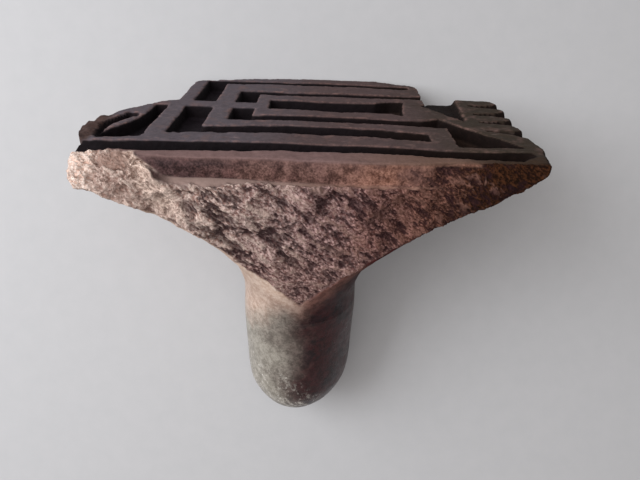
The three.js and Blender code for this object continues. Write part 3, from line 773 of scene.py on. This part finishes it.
def shape_clay(mesh):
    skin = Skin(mesh)
    front = skin.smoothed(front_mask(skin.points, skin.normals), FRONT_ROUNDS)
    carve_face(skin)
    under = ease(*UNDER_LEVEL, skin.points[:, 2]) * (1.0 - front)
    skin.smooth(SKIN_ROUNDS, 1.0 - FINGERS_KEPT * ease(*FINGERS_KEPT_X, skin.points[:, 0]))
    skin.smooth(UNDER_ROUNDS, under)
    skin.smooth(BREAK_ROUNDS, BREAK_SHARE * front)
    break_ends(skin)
    round_ends(skin)
    raise_ledge(skin)
    narrow_neck(skin)
    plain = skin.points.copy()
    broad = BROAD_HEIGHT * three_noises(skin.points, *BROAD_NOISE)
    skin.points += broad + SMALL_HEIGHT * three_noises(skin.points, *SMALL_NOISE)
    skin.refresh()
    wear_face(skin, plain, front)
    skin.refresh()
    ragged = np.clip(skin.smoothed(front, RAGGED_ROUNDS) * RAGGED_GAIN, 0.0, 1.0) * (1.0 - front)
    ragged *= RAGGED_HEIGHT * soft_noise(skin.points, *RAGGED_NOISE)
    skin.points -= skin.normals * ragged[:, None]
    pushed = roughen_break(skin, front)
    skin.refresh()
    store_masks(skin, plain, front, pushed)


# Pieces: the skin is parted where the joints are, and each part is closed
def part_between(mesh, name, low, high):
    part = bmesh.new()
    part.from_mesh(mesh)
    for level, outward in ((high, FACE_OUT), (low, -FACE_OUT)):
        everything = part.verts[:] + part.edges[:] + part.faces[:]
        place = to_frame((0.0, 0.0, level))
        cut = bmesh.ops.bisect_plane(part, geom=everything, plane_co=place, plane_no=outward, clear_outer=True)
        rim = [item for item in cut["geom_cut"] if isinstance(item, bmesh.types.BMEdge)]
        if rim:
            bmesh.ops.holes_fill(part, edges=rim, sides=0)
            for edge in rim:
                edge.smooth = False
    closed = bpy.data.meshes.new(name)
    part.to_mesh(closed)
    part.free()
    return closed


# Materials
SRGB_FULL = 255
SRGB_KNEE = 0.04045
SRGB_SLOPE = 12.92
SRGB_OFFSET = 0.055
SRGB_POWER = 2.4


def srgb(red, green, blue):
    """A colour as it looks on a screen, from 0 to 255, as the linear colour of a shader."""
    def linear(value):
        part = value / SRGB_FULL
        if part <= SRGB_KNEE:
            return part / SRGB_SLOPE
        return ((part + SRGB_OFFSET) / (1 + SRGB_OFFSET)) ** SRGB_POWER
    return (linear(red), linear(green), linear(blue), 1.0)


BLACK = srgb(0, 0, 0)
WHITE = srgb(255, 255, 255)

# A mix node has its own sockets for numbers and for colours
MIX_NUMBERS = (2, 3)
MIXED_NUMBER = 0
MIX_COLOURS = (6, 7)
MIXED_COLOUR = 2


class Shader:
    """Short calls for the nodes of one material."""

    def __init__(self, name):
        self.material = bpy.data.materials.new(name)
        self.material.use_nodes = True
        self.tree = self.material.node_tree
        self.surface = self.tree.nodes["Principled BSDF"]

    def set(self, socket, value):
        if isinstance(value, bpy.types.NodeSocket):
            self.tree.links.new(value, socket)
        else:
            socket.default_value = value

    def add(self, kind, inputs, output, **settings):
        node = self.tree.nodes.new(kind)
        for name, value in settings.items():
            setattr(node, name, value)
        for name, value in inputs.items():
            self.set(node.inputs[name], value)
        return node.outputs[output]

    def stored(self, name, output="Fac"):
        return self.add("ShaderNodeAttribute", {}, output, attribute_name=name)

    def noise(self, place, size, detail, roughness):
        inputs = {"Vector": place, "Scale": 1.0 / size, "Detail": detail, "Roughness": roughness}
        return self.add("ShaderNodeTexNoise", inputs, "Fac")

    def stretched(self, place, scales):
        """The place with each axis scaled, which draws a pattern out along an axis with a small scale."""
        return self.add("ShaderNodeVectorMath", {0: place, 1: scales}, "Vector", operation="MULTIPLY")

    def spread(self, value, low, high, start=0.0, end=1.0):
        """Goes smoothly from start, where the value is low, to end, where it is high."""
        inputs = {"Value": value, "From Min": low, "From Max": high, "To Min": start, "To Max": end}
        return self.add("ShaderNodeMapRange", inputs, "Result", interpolation_type="SMOOTHSTEP")

    def calc(self, operation, first, second):
        return self.add("ShaderNodeMath", {0: first, 1: second}, 0, operation=operation)

    def plus(self, first, second):
        return self.calc("ADD", first, second)

    def times(self, first, second):
        return self.calc("MULTIPLY", first, second)

    def mix(self, share, first, second, blend="MIX"):
        """Goes from the first to the second colour."""
        inputs = {0: share, MIX_COLOURS[0]: first, MIX_COLOURS[1]: second}
        return self.add("ShaderNodeMix", inputs, MIXED_COLOUR, data_type="RGBA", blend_type=blend)

    def blend(self, share, first, second):
        """Goes from the first to the second number."""
        inputs = {0: share, MIX_NUMBERS[0]: first, MIX_NUMBERS[1]: second}
        return self.add("ShaderNodeMix", inputs, MIXED_NUMBER)

    def grained(self, share, colour, level):
        """Makes a colour lighter and darker by a level from 0 to 1."""
        return self.mix(share, colour, self.mix(level, BLACK, WHITE), "SOFT_LIGHT")


# Patterns that all parts of the clay share. A pattern has its size, detail and roughness.
CLOUDS = (11.0, 4.0, 0.6)
PATCHES = (3.2, 3.0, 0.6)
MOTTLE = (1.4, 6.0, 0.7)
GRIT = (0.35, 4.0, 0.7)
MIDDLE = -0.5
DRIFT = 16.0


class ClayShader(Shader):
    """The places and patterns of the clay."""

    def __init__(self, name):
        super().__init__(name)
        self.place = self.stored("stamp", "Vector")
        axes = self.tree.nodes.new("ShaderNodeSeparateXYZ")
        self.set(axes.inputs[0], self.place)
        self.x, self.y, self.z = axes.outputs
        self.patches = self.noise(self.place, *PATCHES)
        self.mottle = self.noise(self.place, *MOTTLE)
        self.grit = self.noise(self.place, *GRIT)
        clouds = self.noise(self.place, *CLOUDS)
        drift = self.times(self.plus(clouds, MIDDLE), DRIFT)
        self.drifted_x = self.plus(self.x, drift)
        self.drifted_z = self.plus(self.z, drift)


# Grooves, dark partly from soot and partly from painted shade. A range for spread has its two ends, and then the two
# results where they aren't 0 and 1.
SOOT_AND_SHADE_RIGHT_X = (4.0, 22.0)
SOOT_AND_SHADE_LEFT_COLOUR = srgb(17, 11, 15)
SOOT_AND_SHADE_RIGHT_COLOUR = srgb(20, 10, 8)
PIT_LEFT_COLOUR = srgb(34, 28, 34)
PIT_RIGHT_COLOUR = srgb(38, 26, 21)
PIT_LEVEL = (-2.0, -2.6)
SOOT_AND_SHADE_MOTTLE = 0.5


def groove_colour(clay):
    right = clay.spread(clay.drifted_x, *SOOT_AND_SHADE_RIGHT_X)
    walls = clay.mix(right, SOOT_AND_SHADE_LEFT_COLOUR, SOOT_AND_SHADE_RIGHT_COLOUR)
    floors = clay.mix(right, PIT_LEFT_COLOUR, PIT_RIGHT_COLOUR)
    soot_and_shade = clay.mix(clay.spread(clay.z, *PIT_LEVEL), walls, floors)
    return clay.grained(SOOT_AND_SHADE_MOTTLE, soot_and_shade, clay.mottle)


# Smooth wall over the break
WALL_LEFT_COLOUR = srgb(70, 51, 51)
WALL_MIDDLE_X = (-18.0, -2.0)
WALL_MIDDLE_COLOUR = srgb(106, 78, 72)
WALL_RIGHT_X = (2.0, 16.0)
WALL_RIGHT_COLOUR = srgb(138, 97, 82)
WALL_PATCHES = (0.5, 0.64, 0.0, 0.5)
WALL_PATCH_COLOUR = srgb(80, 54, 52)
WALL_MOTTLE = 0.5
WALL_MOTTLE_RANGE = (0.35, 0.65)
WALL_GRIT = 0.22
WALL_GRIT_RANGE = (0.36, 0.64)


def wall_colour(clay):
    wall = clay.mix(clay.spread(clay.drifted_x, *WALL_MIDDLE_X), WALL_LEFT_COLOUR, WALL_MIDDLE_COLOUR)
    wall = clay.mix(clay.spread(clay.x, *WALL_RIGHT_X), wall, WALL_RIGHT_COLOUR)
    wall = clay.mix(clay.spread(clay.patches, *WALL_PATCHES), wall, WALL_PATCH_COLOUR)
    wall = clay.grained(WALL_MOTTLE, wall, clay.spread(clay.mottle, *WALL_MOTTLE_RANGE))
    return clay.grained(WALL_GRIT, wall, clay.spread(clay.grit, *WALL_GRIT_RANGE))


# Carved face
FACE_LEFT_COLOUR = srgb(92, 84, 90)
FACE_MIDDLE_X = (-14.0, 6.0)
FACE_MIDDLE_COLOUR = srgb(86, 70, 70)
FACE_RIGHT_X = (14.0, 30.0)
FACE_RIGHT_COLOUR = srgb(60, 51, 43)
FACE_PATCHES = (0.5, 0.72, 0.0, 0.45)
FACE_PATCH_COLOUR = srgb(122, 95, 90)
LINES = (0.5, 3.0, 0.6)
LINE_STRETCH = (0.22, 1.0, 1.0)
LINE_RANGE = (0.58, 0.75, 0.0, 0.3)
LINE_COLOUR = srgb(150, 130, 128)
EDGE_HIGHLIGHT_MOTTLE = (0.4, 0.62, 0.06, 0.45)
EDGE_HIGHLIGHT_X = (32.0, 29.0, 0.15, 1.0)
EDGE_HIGHLIGHT_COLOUR = srgb(152, 118, 110)
WING_X = (-33.0, -34.4)
WING_Y = (-7.0, -5.5)
WING_DARK_COLOUR = srgb(40, 29, 28)
WING_LIGHT_COLOUR = srgb(100, 79, 74)
RIDGE_Y = (-7.2, -7.7)
RIDGE_LEVEL = (-1.2, -0.5)
RIDGE_LEFT_COLOUR = srgb(124, 99, 97)
RIDGE_MIDDLE_X = (0.0, 22.0)
RIDGE_MIDDLE_COLOUR = srgb(114, 88, 77)
RIDGE_RIGHT_X = (22.0, 31.0)
RIDGE_RIGHT_COLOUR = srgb(60, 46, 36)
SOOT_AND_SHADE_SHARE = 0.97
FACE_MOTTLE = 0.4
FACE_GRIT = 0.25


def face_colour(clay):
    face = clay.mix(clay.spread(clay.drifted_x, *FACE_MIDDLE_X), FACE_LEFT_COLOUR, FACE_MIDDLE_COLOUR)
    face = clay.mix(clay.spread(clay.drifted_x, *FACE_RIGHT_X), face, FACE_RIGHT_COLOUR)
    face = clay.mix(clay.spread(clay.patches, *FACE_PATCHES), face, FACE_PATCH_COLOUR)
    lines = clay.noise(clay.stretched(clay.place, LINE_STRETCH), *LINES)
    face = clay.mix(clay.spread(lines, *LINE_RANGE), face, LINE_COLOUR)
    # Raised edges get a painted highlight.
    wear_and_highlight = clay.times(clay.stored("edge"), clay.spread(clay.mottle, *EDGE_HIGHLIGHT_MOTTLE))
    wear_and_highlight = clay.times(wear_and_highlight, clay.spread(clay.x, *EDGE_HIGHLIGHT_X))
    face = clay.mix(wear_and_highlight, face, EDGE_HIGHLIGHT_COLOUR)
    wing = clay.times(clay.spread(clay.x, *WING_X), clay.spread(clay.y, *WING_Y))
    face = clay.mix(wing, face, clay.mix(clay.mottle, WING_DARK_COLOUR, WING_LIGHT_COLOUR))
    near = clay.times(clay.spread(clay.y, *RIDGE_Y), clay.spread(clay.z, *RIDGE_LEVEL))
    ridge = clay.mix(clay.spread(clay.x, *RIDGE_MIDDLE_X), RIDGE_LEFT_COLOUR, RIDGE_MIDDLE_COLOUR)
    ridge = clay.mix(clay.spread(clay.x, *RIDGE_RIGHT_X), ridge, RIDGE_RIGHT_COLOUR)
    face = clay.mix(near, face, ridge)
    # The grooves take the soot colour, which is partly painted shade.
    face = clay.mix(clay.times(clay.stored("soot_and_shade"), SOOT_AND_SHADE_SHARE), face, groove_colour(clay))
    face = clay.mix(clay.stored("wall"), face, wall_colour(clay))
    face = clay.grained(FACE_MOTTLE, face, clay.mottle)
    return clay.grained(FACE_GRIT, face, clay.grit)


# Bell and stem
BLOBS = (1.3, 5.0, 0.7)
BLOB_GRIT = 0.35
SPECKLE_RANGE = (0.4, 0.6)
SPECKLE = 0.4
BELL_X = (-7.0, 6.0)
BELL_LEFT_COLOUR = srgb(194, 170, 155)
BELL_RIGHT_COLOUR = srgb(92, 36, 35)
STEM_X = (-9.0, 3.0)
STEM_LEFT_COLOUR = srgb(152, 146, 136)
STEM_RIGHT_COLOUR = srgb(52, 22, 24)
STEM_LEAN = -0.8
STEM_LEVEL = (-22.0, -30.0)
STAIN_PATCHES = (0.5, 0.64)
STAIN_X = (-3.0, 4.0)
STAIN_SHARE = 0.8
STAIN_COLOUR = srgb(30, 19, 23)
SCUFFS = (1.2, 7.0, 0.8)
SCUFF_STRETCH = (1.0, 1.0, 0.6)
SCUFF_RANGE = (0.5, 0.62, 0.0, 0.9)
SCUFF_LEVEL = (-40.0, -55.0, 0.35, 1.0)
SCUFF_COLOUR = srgb(206, 200, 191)
RUBBED_LIT_RISE = 50.0
RUBBED_LIT_LEAN = 0.8
RUBBED_LIT_X = (6.0, -2.0)
GLINTS = (0.8, 1.0, 0.4)
GLINT_RANGE = (0.73, 0.77)
GLINT_COLOUR = srgb(236, 232, 226)
HEM_X = (-4.0, 3.0)
HEM_LEFT_COLOUR = srgb(222, 197, 180)
HEM_RIGHT_COLOUR = srgb(122, 84, 75)
HEM_SHARE = 0.8


def bell_colour(clay):
    blobs = clay.noise(clay.place, *BLOBS)
    speckle = clay.spread(clay.blend(BLOB_GRIT, blobs, clay.grit), *SPECKLE_RANGE)
    # Lighter on the left and darker on the right: partly the clay's own fire-clouding, partly painted light on the
    # lit left side and painted shade on the right.
    bell = clay.mix(clay.spread(clay.drifted_x, *BELL_X), BELL_LEFT_COLOUR, BELL_RIGHT_COLOUR)
    stem = clay.mix(clay.spread(clay.drifted_x, *STEM_X), STEM_LEFT_COLOUR, STEM_RIGHT_COLOUR)
    low = clay.spread(clay.plus(clay.drifted_z, clay.times(clay.x, STEM_LEAN)), *STEM_LEVEL)
    bell = clay.mix(low, bell, stem)
    stain = clay.times(clay.spread(clay.patches, *STAIN_PATCHES), clay.spread(clay.x, *STAIN_X))
    bell = clay.mix(clay.times(clay.times(stain, low), STAIN_SHARE), bell, STAIN_COLOUR)
    bell = clay.grained(SPECKLE, bell, speckle)
    # The lower left flank, which faces the lamp: the scuffs are kept to it, and painted glints, small white
    # highlights, are put on it.
    leaning_x = clay.plus(clay.x, clay.times(clay.plus(clay.z, RUBBED_LIT_RISE), RUBBED_LIT_LEAN))
    rubbed_and_lit = clay.times(clay.spread(leaning_x, *RUBBED_LIT_X), low)
    scuffs = clay.noise(clay.stretched(clay.place, SCUFF_STRETCH), *SCUFFS)
    scuffs = clay.times(clay.spread(scuffs, *SCUFF_RANGE), clay.spread(clay.z, *SCUFF_LEVEL))
    bell = clay.mix(clay.times(scuffs, rubbed_and_lit), bell, SCUFF_COLOUR)
    glints = clay.spread(clay.noise(clay.place, *GLINTS), *GLINT_RANGE)
    bell = clay.mix(clay.times(glints, rubbed_and_lit), bell, GLINT_COLOUR)
    hem = clay.mix(clay.spread(clay.x, *HEM_X), HEM_LEFT_COLOUR, HEM_RIGHT_COLOUR)
    hem = clay.grained(SPECKLE, hem, speckle)
    return clay.mix(clay.times(clay.stored("hem"), HEM_SHARE), bell, hem)


# Broken front
FINE = (0.36, 3.0, 0.65)
FINE_STRETCH = (0.6, 1.0, 1.0)
FINE_RANGE = (0.38, 0.62)
BLOTCHES = (3.4, 5.0, 0.65)
ZONE_DRIFT = 10.0
BREAK_LEFT_COLOUR = srgb(188, 162, 152)
# From left to right, where the colour of the break turns and what it turns to
BREAK_TURNS = [
    ((-25.0, -19.0), srgb(194, 167, 158)),
    ((-14.0, -6.0), srgb(172, 144, 139)),
    ((-4.0, 3.0), srgb(158, 126, 123)),
    ((5.0, 12.0), srgb(138, 101, 95)),
    ((12.0, 20.0), srgb(108, 73, 63)),
    ((19.0, 29.0), srgb(54, 30, 16)),
]
BREAK_LOW_LEVEL = (-13.0, -20.0, 0.0, 0.85)
BREAK_LOW_COLOUR = srgb(150, 119, 114)
LIP_X = (-29.0, -31.4)
LIP_COLOUR = srgb(246, 221, 208)
FINE_SHARE_X = (-30.0, -12.0, 0.42, 0.75)
PAINTED_SHADE_X = (-29.0, -14.0)
PAINTED_SHADE_LEFT_COLOUR = srgb(128, 96, 86)
PAINTED_SHADE_COLOUR = srgb(46, 27, 31)
PAINTED_HIGHLIGHT_X = (-18.0, 14.0)
PAINTED_HIGHLIGHT_LEFT_COLOUR = srgb(238, 217, 205)
PAINTED_HIGHLIGHT_RIGHT_COLOUR = srgb(136, 99, 88)
CREST_HIGHLIGHT_SHARE = 0.58
CREVICE_SHADE_X = (-32.0, -18.0, 0.3, 0.74)
HOLLOW_SHADE_LEFT_X = (-28.0, -16.0, 0.32, 0.62)
HOLLOW_SHADE_RIGHT_X = (8.0, 16.0, 1.0, 0.6)
DIM_BLOTCHES = (0.54, 0.68, 0.0, 0.6)
DIM_X = (-30.0, -18.0, 0.2, 1.0)
FLAKE_SHARE = 0.6
FLAKE_COLOUR = srgb(150, 118, 106)
SCAR_SLANT = 0.57
SCAR_LEFT_X = (-27.0, -25.0)
SCAR_RIGHT_X = (-20.5, -23.0)
SCAR_LEVEL = (-11.0, -7.0)
SCAR_FINE = (0.1, 0.7, 0.3, 0.85)
SCAR_HIGHLIGHT_COLOUR = srgb(236, 212, 198)


def break_colour(clay, streak, fine):
    blotches = clay.noise(streak, *BLOTCHES)
    zone = clay.plus(clay.x, clay.times(clay.plus(blotches, MIDDLE), ZONE_DRIFT))
    across = BREAK_LEFT_COLOUR
    for turn, colour in BREAK_TURNS:
        across = clay.mix(clay.spread(zone, *turn), across, colour)
    across = clay.mix(clay.spread(clay.z, *BREAK_LOW_LEVEL), across, BREAK_LOW_COLOUR)
    across = clay.mix(clay.spread(clay.x, *LIP_X), across, LIP_COLOUR)
    across = clay.grained(clay.spread(clay.x, *FINE_SHARE_X), across, fine)
    # Crevices, hollows and dim blotches are darkened towards a painted shade colour.
    painted_shade = clay.mix(clay.spread(clay.x, *PAINTED_SHADE_X), PAINTED_SHADE_LEFT_COLOUR, PAINTED_SHADE_COLOUR)
    light = clay.mix(clay.spread(clay.x, *PAINTED_HIGHLIGHT_X), PAINTED_HIGHLIGHT_LEFT_COLOUR, PAINTED_HIGHLIGHT_RIGHT_COLOUR)
    # Crests of the grains get a painted highlight.
    across = clay.mix(clay.times(clay.stored("crest_highlight"), CREST_HIGHLIGHT_SHARE), across, light)
    across = clay.mix(clay.times(clay.stored("crevice_shade"), clay.spread(clay.x, *CREVICE_SHADE_X)), across, painted_shade)
    hollow_shade_share = clay.times(clay.spread(clay.x, *HOLLOW_SHADE_LEFT_X), clay.spread(clay.x, *HOLLOW_SHADE_RIGHT_X))
    across = clay.mix(clay.times(clay.stored("hollow_shade"), hollow_shade_share), across, painted_shade)
    dim = clay.times(clay.spread(blotches, *DIM_BLOTCHES), clay.spread(clay.x, *DIM_X))
    across = clay.mix(dim, across, painted_shade)
    across = clay.mix(clay.times(clay.stored("flake"), FLAKE_SHARE), across, FLAKE_COLOUR)
    # A painted highlight along the lit side of the slanting scar.
    scar_x = clay.plus(clay.x, clay.times(clay.z, SCAR_SLANT))
    scar = clay.times(clay.spread(scar_x, *SCAR_LEFT_X), clay.spread(scar_x, *SCAR_RIGHT_X))
    scar = clay.times(scar, clay.spread(clay.z, *SCAR_LEVEL))
    scar = clay.times(scar, clay.spread(fine, *SCAR_FINE))
    return clay.mix(scar, across, SCAR_HIGHLIGHT_COLOUR)


# The whole clay
LEDGE_X = (-6.0, 10.0)
LEDGE_LEFT_COLOUR = srgb(152, 129, 122)
LEDGE_RIGHT_COLOUR = srgb(142, 110, 98)
LEDGE_MOTTLE = 0.4
DULL = 0.8
POLISH_LEVEL = (-20.0, -30.0)
POLISH_MOTTLE = (0.3, 0.7, 0.24, 0.46)
BREAK_ROUGHNESS = 0.95
MOTTLE_BUMP = 0.5
GRIT_BUMP = 0.2
BUMP_STRENGTH = 0.8
BUMP_DISTANCE = 0.18 * MM


def clay_material(name, gloss):
    clay = ClayShader(name)
    streak = clay.stored("streak", "Vector")
    broken = clay.stored("broken")
    fine = clay.spread(clay.noise(clay.stretched(streak, FINE_STRETCH), *FINE), *FINE_RANGE)
    colour = clay.mix(clay.stored("plate"), bell_colour(clay), face_colour(clay))
    colour = clay.mix(broken, colour, break_colour(clay, streak, fine))
    ledge = clay.mix(clay.spread(clay.x, *LEDGE_X), LEDGE_LEFT_COLOUR, LEDGE_RIGHT_COLOUR)
    colour = clay.mix(clay.stored("ledge"), colour, clay.grained(LEDGE_MOTTLE, ledge, clay.mottle))
    polished = clay.spread(clay.mottle, *POLISH_MOTTLE)
    roughness = clay.blend(clay.spread(clay.z, *POLISH_LEVEL), DULL, polished)
    roughness = clay.blend(broken, roughness, BREAK_ROUGHNESS)
    height = clay.plus(clay.times(clay.mottle, MOTTLE_BUMP), clay.times(clay.grit, GRIT_BUMP))
    height = clay.blend(broken, height, fine)
    inputs = {"Height": height, "Strength": BUMP_STRENGTH, "Distance": BUMP_DISTANCE}
    bump = clay.add("ShaderNodeBump", inputs, "Normal")
    clay.set(clay.surface.inputs["Base Color"], colour)
    clay.set(clay.surface.inputs["Roughness"], roughness)
    clay.set(clay.surface.inputs["Normal"], bump)
    clay.set(clay.surface.inputs["Specular IOR Level"], gloss)
    return clay.material


HALF_SEAM = 0.15
BEYOND = 5.0
SLAB_JOINT = 0.5 * (SLAB_BACK + SLIP_TOP)
SLIP_JOINT = 0.5 * (SLIP_BOTTOM + BACKING_TOP)
COIL_JOINT = COIL_TOP - HALF_SEAM
STEM_JOINT = NECK + HALF_SEAM
# Each piece has its name, the solids it stands for, its material, and its lowest and highest level
PIECES = [
    ("carved_slab", ["face_slab"], "fine_clay", SLAB_JOINT, BEYOND),
    ("slip_coat", ["slab_slip"], "slip", SLIP_JOINT, SLAB_JOINT),
    ("bell", ["backing"], "coarse_clay", COIL_JOINT, SLIP_JOINT),
    ("neck_collar", ["neck_coil"], "coil_clay", STEM_JOINT, COIL_JOINT),
    ("grip", ["stem", "stem_slip"], "burnished_clay", STAMP_END - BEYOND, STEM_JOINT),
]
GLOSS = {"fine_clay": 0.12, "slip": 0.12, "coarse_clay": 0.12, "coil_clay": 0.15, "burnished_clay": 0.32}


def add_pieces():
    whole = with_finer_break(outer_shell(remeshed(joined_solids())))
    shape_clay(whole)
    for name, nodes, slot, low, high in PIECES:
        mesh = part_between(whole, name, low, high)
        mesh.shade_smooth()
        mesh.materials.append(clay_material(slot, GLOSS[slot]))
        piece = bpy.data.objects.new(name, mesh)
        bpy.context.scene.collection.objects.link(piece)
        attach(piece, "root")
        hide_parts(*nodes)
    bpy.data.meshes.remove(whole)


# Camera
CAMERA_PLACE = (3.59, -88.75, 30.74)
CAMERA_PITCH = math.radians(30.0)
CAMERA_ROLL = math.radians(2.0)
IMAGE_WIDTH = 640
FOCAL_PIXELS = 555
SENSOR_MM = 36.0
CLIP_START = 0.005


def add_camera():
    forward = ACROSS * math.cos(CAMERA_PITCH) - FACE_OUT * math.sin(CAMERA_PITCH)
    level_up = ACROSS * math.sin(CAMERA_PITCH) + FACE_OUT * math.cos(CAMERA_PITCH)
    right = ALONG * math.cos(CAMERA_ROLL) + level_up * math.sin(CAMERA_ROLL)
    up = level_up * math.cos(CAMERA_ROLL) - ALONG * math.sin(CAMERA_ROLL)
    data = bpy.data.cameras.new("camera")
    data.sensor_width = SENSOR_MM
    data.lens = SENSOR_MM * FOCAL_PIXELS / IMAGE_WIDTH
    data.clip_start = CLIP_START
    camera = bpy.data.objects.new("camera", data)
    turn = Matrix((right, up, -forward)).transposed().to_4x4()
    camera.matrix_world = Matrix.Translation(to_frame(CAMERA_PLACE)) @ turn
    bpy.context.scene.collection.objects.link(camera)
    bpy.context.scene.camera = camera


# Floor and light, in metres and watts
FLOOR_HALF = 0.6
FIBRES = (0.004, 4.0, 0.6)
PAPER_DARK = srgb(194, 195, 198)
PAPER_LIGHT = srgb(202, 202, 205)
PAPER_ROUGHNESS = 0.9
WORLD_COLOUR = (1.0, 0.95, 0.92, 1)
WORLD_STRENGTH = 0.34
LAMP_TARGET = Vector((0, 0, 0.02))
# Each lamp has its name, place, size, watts and colour
LAMPS = [
    ("left_window", (-0.24, 0.06, 0.24), 0.24, 0.84, (0.97, 0.985, 1.0)),
    ("ceiling", (-0.08, 0.02, 0.4), 0.35, 0.48, (1.0, 0.98, 0.96)),
]


def add_floor():
    mesh = bpy.data.meshes.new("floor")
    corners = [(x * FLOOR_HALF, y * FLOOR_HALF, 0) for x, y in ((-1, -1), (1, -1), (1, 1), (-1, 1))]
    mesh.from_pydata(corners, [], [(0, 1, 2, 3)])
    floor = bpy.data.objects.new("floor", mesh)
    bpy.context.scene.collection.objects.link(floor)
    paper = Shader("floor")
    place = paper.add("ShaderNodeTexCoord", {}, "Object")
    colour = paper.mix(paper.noise(place, *FIBRES), PAPER_DARK, PAPER_LIGHT)
    paper.set(paper.surface.inputs["Base Color"], colour)
    paper.set(paper.surface.inputs["Roughness"], PAPER_ROUGHNESS)
    mesh.materials.append(paper.material)


def add_lamp(name, place, size, watts, colour):
    lamp = bpy.data.lights.new(name, "AREA")
    lamp.size = size
    lamp.energy = watts
    lamp.color = colour
    ob = bpy.data.objects.new(name, lamp)
    ob.location = place
    ob.rotation_euler = (LAMP_TARGET - ob.location).to_track_quat("-Z", "Y").to_euler()
    bpy.context.scene.collection.objects.link(ob)


def add_lights():
    world = bpy.data.worlds.new("world")
    world.use_nodes = True
    background = world.node_tree.nodes["Background"]
    background.inputs["Color"].default_value = WORLD_COLOUR
    background.inputs["Strength"].default_value = WORLD_STRENGTH
    bpy.context.scene.world = world
    for lamp in LAMPS:
        add_lamp(*lamp)


add_pieces()
add_camera()
add_floor()
add_lights()
bpy.context.scene.view_settings.view_transform = "Standard"
